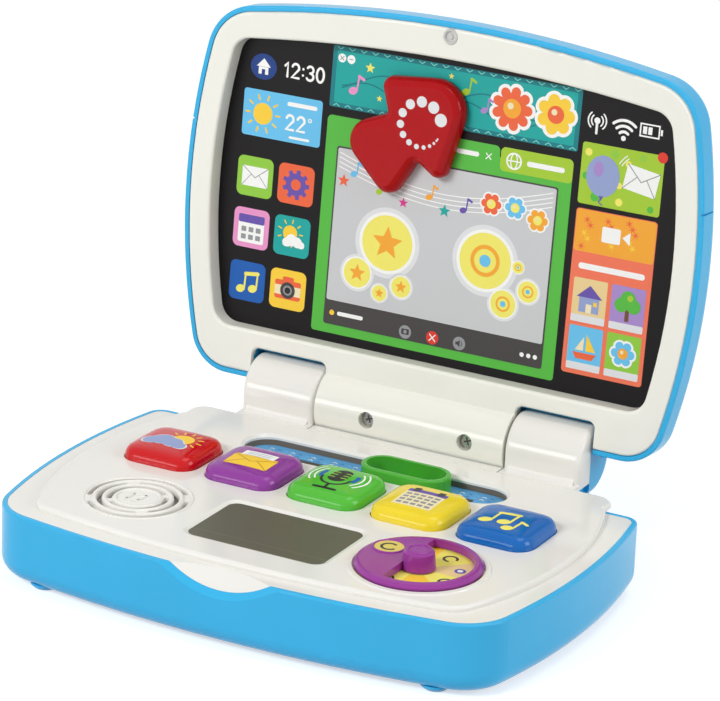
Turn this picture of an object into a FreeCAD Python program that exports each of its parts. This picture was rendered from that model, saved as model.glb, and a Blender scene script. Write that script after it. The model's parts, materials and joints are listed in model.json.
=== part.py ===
import FreeCAD, Part
import math
import os
from types import SimpleNamespace
from FreeCAD import Vector

# Toy laptop. Millimetres, +Z up, front of the toy towards -Y.
# Base pieces are drawn about the foot of the hinge axis.
# Lid pieces are drawn about the hinge axis itself, with y up the lid and z out of its face.

os.makedirs("parts", exist_ok=True)
doc = FreeCAD.newDocument("toy_laptop")
sheet = doc.addObject("Spreadsheet::Sheet", "dims")

SIZES = [
    # outline shared by lid and base
    ("cover_half", 130.7, "half width of the white covers at their widest"),
    ("side_bow", 315, "radius of the bowed sides"),
    ("widest", 96, "widest line, from the hinge axis"),
    ("reach", 188, "hinge axis to the front edge of the white covers"),
    ("front_bow", 640, "radius of the bowed front edge"),
    ("corner", 23, "front corner radius"),
    ("lip", 2.5, "blue rim outside the white covers"),
    ("fit", 0.1, "clearance of a cover in its rim"),
    # base
    ("rim_height", 34.5, "top of the base rim above the ground"),
    ("foot_height", 1.5, "height of the feet"),
    ("foot_radius", 7, "radius of a foot"),
    ("foot_x", 98, "feet to the middle line"),
    ("foot_front", 172, "front feet from the hinge axis"),
    ("foot_rear", 48, "rear feet from the hinge axis"),
    ("tub_floor", 2.5, "floor of the tub"),
    ("tub_seat", 1.5, "step that carries the deck"),
    ("tub_round", 9, "round of the bottom edge"),
    ("rim_round", 1, "soft outer edge of the rim"),
    ("base_rear", 30.4, "rear edge of the base from the hinge axis"),
    ("rear_corner", 8, "rear corner radius of the base"),
    ("saddle_half", 91.5, "half width of the raised rear block"),
    ("raised_half", 109.9, "half width of the raised deck at its rear"),
    ("tower_drop", 18, "foot of the hinge towers below the rim"),
    ("saddle_rear", 17.6, "rear of that block from the hinge axis"),
    ("saddle_corner", 8, "rear corners of the raised deck"),
    ("scoop_half", 46, "half width of the finger scoop"),
    ("scoop_depth", 12, "depth of the finger scoop"),
    ("scoop_run", 10, "length of the sloping apron"),
    # deck
    ("deck_thick", 2.4, "deck wall"),
    ("deck_drop", 0.2, "deck edge below the rim"),
    ("plateau_rise", 2.7, "plateau above the deck edge"),
    ("plateau_half", 122.6, "half width of the plateau"),
    ("plateau_bow", 169, "radius of the plateau sides"),
    ("plateau_reach", 179, "front of the plateau from the hinge axis"),
    ("plateau_corner", 12, "front corner radius of the plateau"),
    ("plateau_round", 1.8, "soft shoulder of the plateau"),
    ("row_y", 139.1, "display, dial and speaker row from the hinge axis"),
    ("display_width", 68, "display opening, left to right"),
    ("display_depth", 43, "display opening, front to back"),
    ("display_bevel", 2.2, "bevel round the display"),
    ("display_drop", 0.8, "display window below the plateau"),
    ("display_flange", 3, "hidden flange of the display window"),
    ("display_corner", 5, "corner radius of the display"),
    ("window_thick", 1.6, "display window plate"),
    ("side_x", 70.9, "dial and speaker from the middle line"),
    ("grille_outer", 23.2, "outermost grille slot"),
    ("grille_slot", 2.3, "width of a grille slot"),
    ("grille_pitch", 4.7, "grille rings apart"),
    # buttons
    ("button_size", 37.5, "side of a button"),
    ("button_corner", 9, "corner radius of a button"),
    ("button_pitch", 42.8, "buttons apart"),
    ("button_y", 83.7, "button row from the hinge axis"),
    ("button_rise", 7, "button above the plateau"),
    ("button_crown", 3, "rounded shoulder of a button"),
    ("button_dome", 62, "radius of the domed top of a button"),
    ("button_gap", 0.4, "clearance round a button"),
    ("button_flange", 1.7, "width of the retaining flange"),
    ("flange_thick", 1.8, "thickness of the retaining flange"),
    ("button_travel", 2.5, "how far a button is pressed"),
    # slider
    ("slot_y", 47.9, "slider slot from the hinge axis"),
    ("slot_length", 134, "slider slot, left to right"),
    ("slot_width", 23, "slider slot, front to back"),
    ("slot_bevel", 1.4, "bevelled edge of the slider slot"),
    ("tray_depth", 5.5, "tray floor below the plateau"),
    ("tray_wall", 1.8, "wall of the slider tray"),
    ("guide_width", 4, "guide slit in the tray floor"),
    ("ring_length", 44, "slider ring, left to right"),
    ("ring_width", 20.6, "slider ring, front to back"),
    ("ring_wall", 2.4, "wall of the slider ring"),
    ("ring_rise", 3.6, "slider ring above the plateau"),
    ("ring_x", 16.6, "slider ring right of the middle"),
    # dial
    ("dial_radius", 28.2, "radius of the dial"),
    ("dial_gap", 0.8, "clearance round the dial"),
    ("dial_rise", 3.2, "dial rim above the plateau"),
    ("dial_hub", 6.8, "radius of the dial hub"),
    ("hub_rise", 8, "dial hub above the plateau"),
    ("dial_ring", 3.8, "width of the dial rim"),
    ("pan_depth", 1.2, "dial pan floor below the plateau"),
    ("shaft_radius", 3, "radius of pivots and hinge pins"),
    ("running", 0.05, "radial running clearance of a pivot"),
    # hinge and lid
    ("hinge_height", 44.8, "hinge axis above the ground"),
    ("lean", 5.44, "degrees the open lid leans back"),
    ("barrel_radius", 16.4, "lid barrel"),
    ("barrel_half", 49.4, "half length of the lid barrel"),
    ("knuckle_radius", 16.4, "base knuckles"),
    ("barrel_gap", 0.8, "lid barrel clear of a knuckle"),
    ("shelf_gap", 0.8, "deck clear of the lid barrel"),
    ("knuckle_length", 38.6, "length of a knuckle"),
    ("knuckle_skirt", 3, "hollow round from a knuckle to the deck"),
    ("knuckle_round", 2.6, "round of the knuckle ends"),
    ("knuckle_split", 4.5, "white and blue halves meet ahead of the axis"),
    ("notch_top", 21.5, "top of the lid notches from the axis"),
    ("notch_gap", 1.5, "clearance beside a knuckle"),
    ("barrel_screw_mid", 4, "middle of the barrel screws"),
    ("barrel_screw_half", 25.8, "barrel screws either side of their middle"),
    ("barrel_screw_y", -0.8, "barrel screws from the axis"),
    ("barrel_screw_seat", 10.5, "seat of the barrel screws ahead of the axis"),
    ("barrel_screw_length", 18, "shank of a barrel screw"),
    ("lid_screw_in", 6.1, "lid screws in from the widest edge"),
    ("face_out", 7, "bezel face ahead of the hinge axis"),
    ("lid_thick", 17.5, "lid front to back"),
    ("lid_round", 7, "round of the lid back"),
    ("lid_skin", 2.5, "wall of the lid back"),
    ("lid_bottom", 6.5, "bottom edge of the bezel from the axis"),
    ("lid_corner", 18, "bottom corner radius of the lid"),
    ("groove_y", 124, "seam groove in the lid side, from the axis"),
    ("groove_width", 1, "width of the seam groove"),
    ("groove_depth", 1.2, "depth of the seam groove"),
    ("bezel_thick", 2.6, "bezel plate"),
    ("bezel_round", 1.5, "soft edges of the bezel"),
    ("bezel_wall", 2.4, "wall round the screen"),
    ("bezel_side", 11.3, "bezel beside the screen"),
    ("screen_bow", 300, "radius of the screen sides"),
    ("screen_bottom", 27.6, "bottom of the screen from the axis"),
    ("screen_top", 173, "top of the screen from the axis"),
    ("screen_top_bow", 840, "radius of the screen top"),
    ("screen_corner", 10, "screen corner radius"),
    ("screen_depth", 8.9, "screen below the bezel face"),
    ("panel_thick", 2, "screen panel"),
    ("lens_y", 183.7, "camera dimple from the axis"),
    ("lens_radius", 3.6, "camera dimple"),
    # cursor
    ("cursor_x", -11.2, "cursor pivot right of the middle"),
    ("cursor_y", 141, "cursor pivot from the axis"),
    ("cursor_thick", 8.3, "cursor thickness"),
    ("cursor_lift", 0.4, "cursor clear of the screen"),
    ("cursor_round", 2.6, "rounded face of the cursor"),
    # inside
    ("board_top", 25.6, "top of the circuit board above the ground"),
    ("board_thick", 1.6, "circuit board"),
    ("post_radius", 4.6, "screw posts"),
    ("screw_radius", 1.5, "screw shanks"),
    ("head_radius", 3.1, "screw heads"),
    ("head_thick", 2.2, "screw head height"),
    ("cell_radius", 7.1, "battery cell radius"),
    ("cell_length", 50, "battery cell length"),
    ("door_width", 72, "battery door, left to right"),
    ("door_depth", 42, "battery door, front to back"),
    ("back_reach", 27.88, "back of the open lid behind the hinge axis"),
]


def fill_sheet():
    values = {}
    for row, (alias, value, note) in enumerate(SIZES, start=1):
        sheet.set("A%d" % row, note)
        sheet.set("B%d" % row, str(value))
        sheet.setAlias("B%d" % row, alias)
        values[alias] = float(value)
    doc.recompute()
    return SimpleNamespace(**values)


n = fill_sheet()

# pieces that line up with others
n.knuckle_in = n.barrel_half + n.barrel_gap
n.knuckle_out = n.knuckle_in + n.knuckle_length
n.screen_half = n.cover_half - n.bezel_side

# derived levels
deck_top = n.rim_height - n.deck_drop
plateau_top = deck_top + n.plateau_rise
plateau_under = plateau_top - n.deck_thick
deck_under = deck_top - n.deck_thick
floor_top = n.foot_height + n.tub_floor
tray_floor = plateau_top - n.tray_depth
pan_floor = plateau_top - n.pan_depth
screen_face = n.face_out - n.screen_depth
lid_back_face = n.face_out - n.lid_thick
bezel_under = n.face_out - n.bezel_thick
bore_radius = n.shaft_radius + n.running

PLATEAU_TOP = "(dims.rim_height - dims.deck_drop + dims.plateau_rise)"
DECK_TOP = "(dims.rim_height - dims.deck_drop)"
DECK_UNDER = "(dims.rim_height - dims.deck_drop - dims.deck_thick)"
PLATEAU_UNDER = "(%s - dims.deck_thick)" % PLATEAU_TOP
KNUCKLE_IN = "(dims.barrel_half + dims.barrel_gap)"
KNUCKLE_OUT = "(%s + dims.knuckle_length)" % KNUCKLE_IN

y_axis = (n.reach + n.lip - n.back_reach) / 2
base_place = FreeCAD.Placement(Vector(0, y_axis, 0), FreeCAD.Rotation())
lid_turn = FreeCAD.Rotation(Vector(1, 0, 0), 90 - n.lean)
lid_place = FreeCAD.Placement(Vector(0, y_axis, n.hinge_height), lid_turn)

ALONG_Z = FreeCAD.Rotation()
ALONG_X = FreeCAD.Rotation(Vector(1, 1, 1), 120)
ALONG_MINUS_Y = FreeCAD.Rotation(Vector(1, 0, 0), 90)


# outline helpers
def line(a, b):
    return Part.LineSegment(Vector(a[0], a[1], 0), Vector(b[0], b[1], 0))


def arc(a, middle, b):
    points = [Vector(p[0], p[1], 0) for p in (a, middle, b)]
    return Part.Arc(*points)


def polar(centre, radius, degrees):
    angle = math.radians(degrees)
    return (centre[0] + radius * math.cos(angle), centre[1] + radius * math.sin(angle))


def toward(centre, point, radius):
    dx, dy = point[0] - centre[0], point[1] - centre[1]
    size = math.hypot(dx, dy)
    return (centre[0] + dx / size * radius, centre[1] + dy / size * radius)


def arc_about(centre, a, b):
    radius = math.hypot(a[0] - centre[0], a[1] - centre[1])
    middle = ((a[0] + b[0]) / 2, (a[1] + b[1]) / 2)
    return arc(a, toward(centre, middle, radius), b)


def meet(c1, r1, c2, r2):
    # the crossing of two circles that lies further right
    dx, dy = c2[0] - c1[0], c2[1] - c1[1]
    gap = math.hypot(dx, dy)
    along = (r1 * r1 - r2 * r2 + gap * gap) / (2 * gap)
    across = math.sqrt(r1 * r1 - along * along)
    px, py = c1[0] + along * dx / gap, c1[1] + along * dy / gap
    first = (px + across * dy / gap, py - across * dx / gap)
    second = (px - across * dy / gap, py + across * dx / gap)
    return first if first[0] > second[0] else second


def bowed_outline(half, side_r, widest, front, front_r, corner, rear, rear_corner, way):
    """Bowed tray outline; way is -1 for the base and +1 for the lid."""
    side = (half - side_r, widest)
    top = (0, front - front_r)
    outer = meet(side, side_r - corner, top, front_r - corner)
    level = rear + rear_corner
    run = side_r - rear_corner
    inner = (side[0] + math.sqrt(run * run - (level - widest) ** 2), level)
    p_rear = (inner[0], rear)
    p_low = toward(side, inner, side_r)
    p_high = toward(side, outer, side_r)
    p_front = toward(top, outer, front_r)
    chain = [
        (p_rear, toward(inner, ((p_rear[0] + p_low[0]) / 2, (p_rear[1] + p_low[1]) / 2),
                        rear_corner), p_low),
        (p_low, (half, widest), p_high),
        (p_high, toward(outer, ((p_high[0] + p_front[0]) / 2, (p_high[1] + p_front[1]) / 2),
                        corner), p_front),
    ]
    edges = []
    for sign in (1, -1):
        for points in chain:
            edges.append(arc(*[(sign * p[0], way * p[1]) for p in points]))
    edges.append(arc((p_front[0], way * p_front[1]), (0, way * front), (-p_front[0], way * p_front[1])))
    edges.append(line((-p_rear[0], way * rear), (p_rear[0], way * rear)))
    return edges


def rounded_polygon(corners):
    """Closed outline through (x, y, radius) corners."""
    edges = []
    count = len(corners)
    starts = []
    ends = []
    for i, (x, y, radius) in enumerate(corners):
        px, py, _ = corners[i - 1]
        qx, qy, _ = corners[(i + 1) % count]
        a = toward((x, y), (px, py), 1)
        b = toward((x, y), (qx, qy), 1)
        ua = (a[0] - x, a[1] - y)
        ub = (b[0] - x, b[1] - y)
        half_angle = math.acos(max(-1, min(1, ua[0] * ub[0] + ua[1] * ub[1]))) / 2
        back = radius / math.tan(half_angle)
        first = (x + ua[0] * back, y + ua[1] * back)
        last = (x + ub[0] * back, y + ub[1] * back)
        bis = (ua[0] + ub[0], ua[1] + ub[1])
        size = math.hypot(*bis)
        deep = radius / math.sin(half_angle) - radius
        middle = (x + bis[0] / size * deep, y + bis[1] / size * deep)
        if radius > 0:
            edges.append(arc(first, middle, last))
        starts.append(first)
        ends.append(last)
    for i in range(count):
        a, b = ends[i], starts[(i + 1) % count]
        if math.hypot(a[0] - b[0], a[1] - b[1]) > 1e-6:
            edges.append(line(a, b))
    return edges


def rounded_box(cx, cy, width, depth, radius):
    w, d = width / 2, depth / 2
    signs = ((-1, -1), (1, -1), (1, 1), (-1, 1))
    return rounded_polygon([(cx + sx * w, cy + sy * d, radius) for sx, sy in signs])


def ring_slot(centre, radius, width, start, stop):
    """Slot that follows a circle, with round ends."""
    inner, outer = radius - width / 2, radius + width / 2
    middle = (start + stop) / 2
    end_a = polar(centre, radius, start)
    end_b = polar(centre, radius, stop)
    return [
        arc(polar(centre, outer, start), polar(centre, outer, middle), polar(centre, outer, stop)),
        arc(polar(centre, outer, stop), polar(end_b, width / 2, stop + 90), polar(centre, inner, stop)),
        arc(polar(centre, inner, stop), polar(centre, inner, middle), polar(centre, inner, start)),
        arc(polar(centre, inner, start), polar(end_a, width / 2, start - 90), polar(centre, outer, start)),
    ]


# feature helpers
def sketch(name, edges, at, turn):
    drawn = doc.addObject("Sketcher::SketchObject", name + "_sketch")
    drawn.addGeometry(edges, False)
    drawn.Placement = FreeCAD.Placement(at, turn)
    return drawn


def extrude(name, edges, start, length, turn=ALONG_Z):
    """Prism from a flat outline; start and length are sheet expressions."""
    drawn = sketch(name, edges, Vector(0, 0, 0), turn)
    normal = turn.multVec(Vector(0, 0, 1))
    axis = "x" if abs(normal.x) > 0.9 else ("y" if abs(normal.y) > 0.9 else "z")
    drawn.setExpression("Placement.Base." + axis, start)
    solid = doc.addObject("Part::Extrusion", name)
    solid.Base = drawn
    solid.DirMode = "Normal"
    solid.Solid = True
    solid.setExpression("LengthFwd", length)
    return solid


def slanted(name, edges, at, direction):
    """Prism from a front view outline, pushed along a slanted direction."""
    drawn = sketch(name, edges, at, ALONG_MINUS_Y)
    solid = doc.addObject("Part::Extrusion", name)
    solid.Base = drawn
    solid.DirMode = "Custom"
    solid.Dir = direction
    solid.LengthFwd = direction.Length
    solid.Solid = True
    return solid


def turned(name, profile, at=Vector(0, 0, 0)):
    """Solid of revolution about a vertical line; profile is a list of (radius, height)."""
    edges = [line(profile[i - 1], profile[i]) for i in range(len(profile))]
    drawn = sketch(name, edges, at, ALONG_MINUS_Y)
    solid = doc.addObject("Part::Revolution", name)
    solid.Source = drawn
    solid.Base = at
    solid.Axis = Vector(0, 0, 1)
    solid.Angle = 360
    solid.Solid = True
    return solid


def ball(name, radius, at):
    solid = doc.addObject("Part::Sphere", name)
    solid.setExpression("Radius", radius)
    solid.Placement = FreeCAD.Placement(at, ALONG_Z)
    return solid


def rod(name, radius, length, at, turn=ALONG_Z):
    solid = doc.addObject("Part::Cylinder", name)
    solid.setExpression("Radius", radius)
    solid.setExpression("Height", length)
    solid.Placement = FreeCAD.Placement(at, turn)
    return solid


def block(name, low, high):
    solid = doc.addObject("Part::Box", name)
    solid.Length = high[0] - low[0]
    solid.Width = high[1] - low[1]
    solid.Height = high[2] - low[2]
    solid.Placement.Base = Vector(*low)
    return solid


def fuse(name, pieces):
    joined = doc.addObject("Part::MultiFuse", name)
    joined.Shapes = pieces
    joined.Refine = True
    return joined


def together(name, pieces):
    group = doc.addObject("Part::Compound", name)
    group.Links = pieces
    return group


def cut(name, base, tools):
    tool = tools[0] if len(tools) == 1 else together(name + "_tools", tools)
    result = doc.addObject("Part::Cut", name)
    result.Base = base
    result.Tool = tool
    return result


def common(name, base, tool):
    result = doc.addObject("Part::Common", name)
    result.Base = base
    result.Tool = tool
    return result


def rounded(name, base, radius, chosen):
    doc.recompute()
    picked = [i for i, edge in enumerate(base.Shape.Edges, start=1) if chosen(edge)]
    result = doc.addObject("Part::Fillet", name)
    result.Base = base
    result.Edges = [(i, radius, radius) for i in picked]
    return result


def lies_at(height):
    def test(edge):
        box = edge.BoundBox
        return abs(box.ZMin - height) < 1e-4 and abs(box.ZMax - height) < 1e-4
    return test


nodes = []


def node(name, solid, place=base_place):
    solid.Label = name
    solid.Placement = place.multiply(solid.Placement)
    nodes.append(solid)


# outlines
def base_outline(inset, rear_inset=None):
    back = inset if rear_inset is None else rear_inset
    return bowed_outline(n.cover_half + n.lip - inset, n.side_bow, n.widest,
                         n.reach + n.lip - inset, n.front_bow, n.corner - inset + n.lip,
                         n.base_rear + back, max(n.rear_corner - inset, 1.5), -1)


def lid_outline(inset, bottom=None):
    low = n.lid_bottom - n.lip + inset if bottom is None else bottom
    round_low = max(n.lid_corner + n.lip - inset, 4)
    return bowed_outline(n.cover_half + n.lip - inset, n.side_bow, n.widest,
                         n.reach + n.lip - inset, n.front_bow, n.corner + n.lip - inset,
                         low, round_low, 1)


def screen_outline(grow):
    return bowed_outline(n.screen_half + grow, n.screen_bow, n.widest,
                         n.screen_top + grow, n.screen_top_bow, n.screen_corner + grow,
                         n.screen_bottom - grow, n.screen_corner + grow, 1)


def plateau_outline(inset):
    return bowed_outline(n.plateau_half - inset, n.plateau_bow, n.widest,
                         n.plateau_reach - inset, n.front_bow, n.plateau_corner,
                         n.base_rear + n.lip + n.fit + inset, 3, -1)


def scoop_outline():
    # wavy edge of the finger scoop, in front view, closed well above the rim
    half, deep = n.scoop_half, n.scoop_depth
    top = n.rim_height
    high = top + 20
    radius = (half * half + deep * deep) / (4 * deep)
    left, right = (-half / 2, top - deep / 2), (half / 2, top - deep / 2)
    return [
        arc_about((-half, top - radius), (-half, top), left),
        arc(left, (0, top - deep), right),
        arc_about((half, top - radius), right, (half, top)),
        line((half, top), (half, high)),
        line((half, high), (-half, high)),
        line((-half, high), (-half, top)),
    ]


def scoop_cutter(name):
    front = -(n.reach + n.lip + 1)
    run = n.scoop_run + n.lip + 1
    lift = n.scoop_depth * run / n.scoop_run
    return slanted(name, scoop_outline(), Vector(0, front, 0), Vector(0, run, lift))


button_xs = [n.button_pitch * step for step in range(-2, 3)]
post_spots = [(112, 60), (112, 120), (60, 172)]
screw_spots = [(s * x, -y) for x, y in post_spots for s in (-1, 1)]
head_seat = n.foot_height + 4
post_top = plateau_under - 14


# base tub
def saddle_profile():
    y0, y1 = -(n.base_rear + 6), -n.saddle_rear
    return rounded_polygon([(y0, n.rim_height - 26, 0), (y1, n.rim_height - 15, 3),
                            (y1, n.rim_height, 0), (y0, n.rim_height, 0)])


def knuckle(name, side, low_y, high_y, low_z):
    # a slice of one hinge knuckle: a cylinder with soft end rims, cut between two depths
    start = n.knuckle_in if side > 0 else -n.knuckle_out
    whole = rod(name + "_rod", "dims.knuckle_radius", "dims.knuckle_length",
                Vector(start, 0, n.hinge_height), ALONG_X)
    soft = rounded(name + "_soft", whole, n.knuckle_round,
                   lambda e: e.BoundBox.XMax - e.BoundBox.XMin < 1e-4)
    room = block(name + "_slice", (start - 1, low_y, low_z),
                 (start + n.knuckle_out - n.knuckle_in + 1, high_y, 2 * n.hinge_height))
    return common(name, soft, room)


def tower_bracket_profile():
    axis = (0, n.hinge_height)
    inside = -(n.saddle_rear + n.lip - 0.5)
    low = n.rim_height - n.tower_drop
    # the underside leaves the round as a tangent that ends at the tub wall
    down, back = low - axis[1], -n.saddle_rear
    spread = math.degrees(math.acos(n.knuckle_radius / math.hypot(back, down)))
    leave = math.degrees(math.atan2(down, back)) + spread
    rear = polar(axis, n.knuckle_radius, leave)
    return [
        line((-n.knuckle_split, n.hinge_height), rear),
        line(rear, (back, low)),
        line((back, low), (inside, low)),
        line((inside, low), (inside, n.rim_height)),
        line((inside, n.rim_height), (-n.knuckle_split, n.rim_height)),
        line((-n.knuckle_split, n.rim_height), (-n.knuckle_split, n.hinge_height)),
    ]


def base_tub():
    outer = extrude("tub_outer", base_outline(0), "dims.foot_height",
                    "dims.rim_height - dims.foot_height")
    bottom = rounded("tub_round_bottom", outer, n.tub_round, lies_at(n.foot_height))
    shell = rounded("tub_round_rim", bottom, n.rim_round, lies_at(n.rim_height))
    saddle = extrude("tub_saddle", saddle_profile(), "-dims.saddle_half",
                     "2 * dims.saddle_half", ALONG_X)
    towers = []
    for side in (-1, 1):
        start = KNUCKLE_IN if side > 0 else "-" + KNUCKLE_OUT
        towers.append(knuckle("tub_knuckle_%d" % (side + 1), side, -n.knuckle_split,
                              n.knuckle_radius + 1, 0))
        towers.append(extrude("tub_tower_%d" % (side + 1), tower_bracket_profile(),
                              start + " + dims.knuckle_round",
                              "dims.knuckle_length - 2 * dims.knuckle_round", ALONG_X))
    body = fuse("tub_body", [shell, saddle])
    seat = extrude("tub_deck_recess", base_outline(n.lip), DECK_UNDER, "dims.deck_thick + 5")
    saddle_seat = block("tub_saddle_recess",
                        (-n.saddle_half + n.lip, -n.base_rear - 12, deck_under),
                        (n.saddle_half - n.lip, -n.saddle_rear - n.lip, n.rim_height + 5))
    hollow = extrude("tub_hollow", base_outline(n.lip + n.tub_seat),
                     "dims.foot_height + dims.tub_floor", "dims.rim_height")
    scoop = scoop_cutter("tub_scoop")
    pocket = common("tub_apron_pocket",
                    extrude("tub_apron_outline", base_outline(n.lip), "0", "dims.rim_height"),
                    block("tub_apron_room", apron_low(n.fit), apron_high(n.fit)))
    open_tub = cut("tub_open", body, [seat, saddle_seat, hollow, pocket, scoop])
    added = list(towers)
    for i, (x, y) in enumerate(screw_spots):
        added.append(rod("tub_post_%d" % i, "dims.post_radius",
                         "%f - dims.foot_height - 1" % post_top, Vector(x, y, n.foot_height + 1)))
    for i, (x, y) in enumerate(foot_spots()):
        added.append(turned("tub_foot_%d" % i, foot_profile(), Vector(x, y, 0)))
    for i, x in enumerate((-96, 96)):
        added.append(rod("tub_board_post_%d" % i, "dims.post_radius",
                         "dims.board_top - dims.board_thick - dims.foot_height - 1",
                         Vector(x, -n.button_y, n.foot_height + 1)))
    added.append(battery_walls())
    tub = fuse("tub_with_posts", [open_tub] + added)
    drills = []
    for i, (x, y) in enumerate(screw_spots):
        drills.append(rod("tub_screw_hole_%d" % i, "dims.screw_radius + dims.running",
                          "60", Vector(x, y, -1)))
        drills.append(rod("tub_screw_well_%d" % i, "dims.head_radius + 0.4",
                          "%f" % (head_seat + 1), Vector(x, y, -1)))
    for side in (-1, 1):
        x0 = n.knuckle_in - 1 if side > 0 else -n.knuckle_out + 12
        drills.append(rod("tub_hinge_bore_%d" % (side + 1), "dims.shaft_radius + dims.running",
                          "dims.knuckle_length - 11",
                          Vector(x0, 0, n.hinge_height), ALONG_X))
    drills.append(block("tub_battery_opening", door_low(0), door_high(0)))
    node("base_tub", cut("tub_node", tub, drills))


def apron_low(grow):
    return (-n.scoop_half - 2 - grow, -n.reach - 5, deck_top - n.scoop_depth - 4 - grow)


def apron_high(grow):
    return (n.scoop_half + 2 + grow, -n.reach + n.scoop_run + 4 + grow, n.rim_height + 5)


def foot_profile():
    r, h = n.foot_radius, n.foot_height
    return [(0, 0), (r - 1.5, 0), (r, h), (r, h + 1), (0, h + 1)]


def foot_spots():
    return [(s * n.foot_x, -y) for y in (n.foot_front, n.foot_rear) for s in (-1, 1)]


# battery bay
def door_low(shrink):
    return (-n.door_width / 2 + shrink, -n.row_y - n.door_depth / 2 + shrink, n.foot_height - 1)


def door_high(shrink):
    return (n.door_width / 2 - shrink, -n.row_y + n.door_depth / 2 - shrink, floor_top + 1)


bay_top = floor_top + 2 * n.cell_radius + 2


def battery_walls():
    wall = 1.6
    low = (-n.door_width / 2 - wall, -n.row_y - n.door_depth / 2 - wall, floor_top - 0.5)
    high = (n.door_width / 2 + wall, -n.row_y + n.door_depth / 2 + wall, bay_top + wall)
    outside = block("bay_outside", low, high)
    inside = block("bay_inside", (low[0] + wall, low[1] + wall, low[2] - 1),
                   (high[0] - wall, high[1] - wall, bay_top))
    return cut("bay_walls", outside, [inside])


def battery_pieces():
    gap = 0.3
    plate = block("door_plate", (door_low(gap)[0], door_low(gap)[1], n.foot_height),
                  (door_high(gap)[0], door_high(gap)[1], floor_top))
    x, y = n.door_width / 2 - 6, -n.row_y
    boss = rod("door_boss", "dims.head_radius + 1.6", "%f" % (bay_top - floor_top - 0.2),
               Vector(x, y, floor_top - 0.1))
    head_top = n.foot_height + 1 + n.head_thick
    well = rod("door_well", "dims.head_radius + 0.3", "%f" % head_top, Vector(x, y, 0))
    hole = rod("door_hole", "dims.screw_radius + dims.running", "%f" % (bay_top - 1), Vector(x, y, 0))
    node("battery_door", cut("door_node", fuse("door_body", [plate, boss]), [well, hole]))
    node("battery_door_screw", screw("door_screw", x, y, n.foot_height + 1, bay_top - 2))
    cells = []
    contacts = []
    left = -n.door_width / 2 + 4.5
    for i, side in enumerate((-1, 1)):
        y = -n.row_y + side * (n.cell_radius + 1.2)
        z = floor_top + n.cell_radius + 0.8
        cells.append(rod("cell_%d" % i, "dims.cell_radius", "dims.cell_length",
                         Vector(left, y, z), ALONG_X))
        for j, x in enumerate((-n.door_width / 2 + 0.2, left + n.cell_length + 0.2)):
            contacts.append(block("contact_%d_%d" % (i, j), (x, y - 5, z - 5), (x + 0.6, y + 5, z + 5)))
    node("batteries", together("cells", cells))
    node("battery_contacts", together("contacts", contacts))


def screw(name, x, y, low, tip):
    """Screw driven upwards: head from low, shank up to tip."""
    head = rod(name + "_head", "dims.head_radius", "dims.head_thick", Vector(x, y, low))
    shank = rod(name + "_shank", "dims.screw_radius", "%f" % (tip - low - 1), Vector(x, y, low + 1))
    return fuse(name, [head, shank])


def case_screws():
    made = []
    for i, (x, y) in enumerate(screw_spots):
        made.append(screw("case_screw_%d" % i, x, y, head_seat - n.head_thick, plateau_under - 6))
    node("case_screws", together("case_screw_set", made))


# deck
def grille_slots(centre):
    slots = []
    for ring in range(3):
        radius = n.grille_outer - n.grille_slot / 2 - ring * n.grille_pitch
        turn = 35 + ring * 95
        for i, (start, stop) in enumerate(((10, 165), (190, 345))):
            edges = ring_slot(centre, radius, n.grille_slot, start + turn, stop + turn)
            slots.append(extrude("grille_%d_%d" % (ring, i), edges, PLATEAU_UNDER + " - 1",
                                 "dims.deck_thick + 4"))
    return slots


def skirt_profile():
    # hollow round between the front of a knuckle and the deck
    front, out, high = -n.knuckle_radius, -n.knuckle_radius - n.knuckle_skirt, plateau_top + n.knuckle_skirt
    low, inside = plateau_top - 1, -n.knuckle_radius + 1
    return [
        arc_about((out, high), (front, high), (out, plateau_top)),
        line((out, plateau_top), (out, low)),
        line((out, low), (inside, low)),
        line((inside, low), (inside, high)),
        line((inside, high), (front, high)),
    ]


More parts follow.
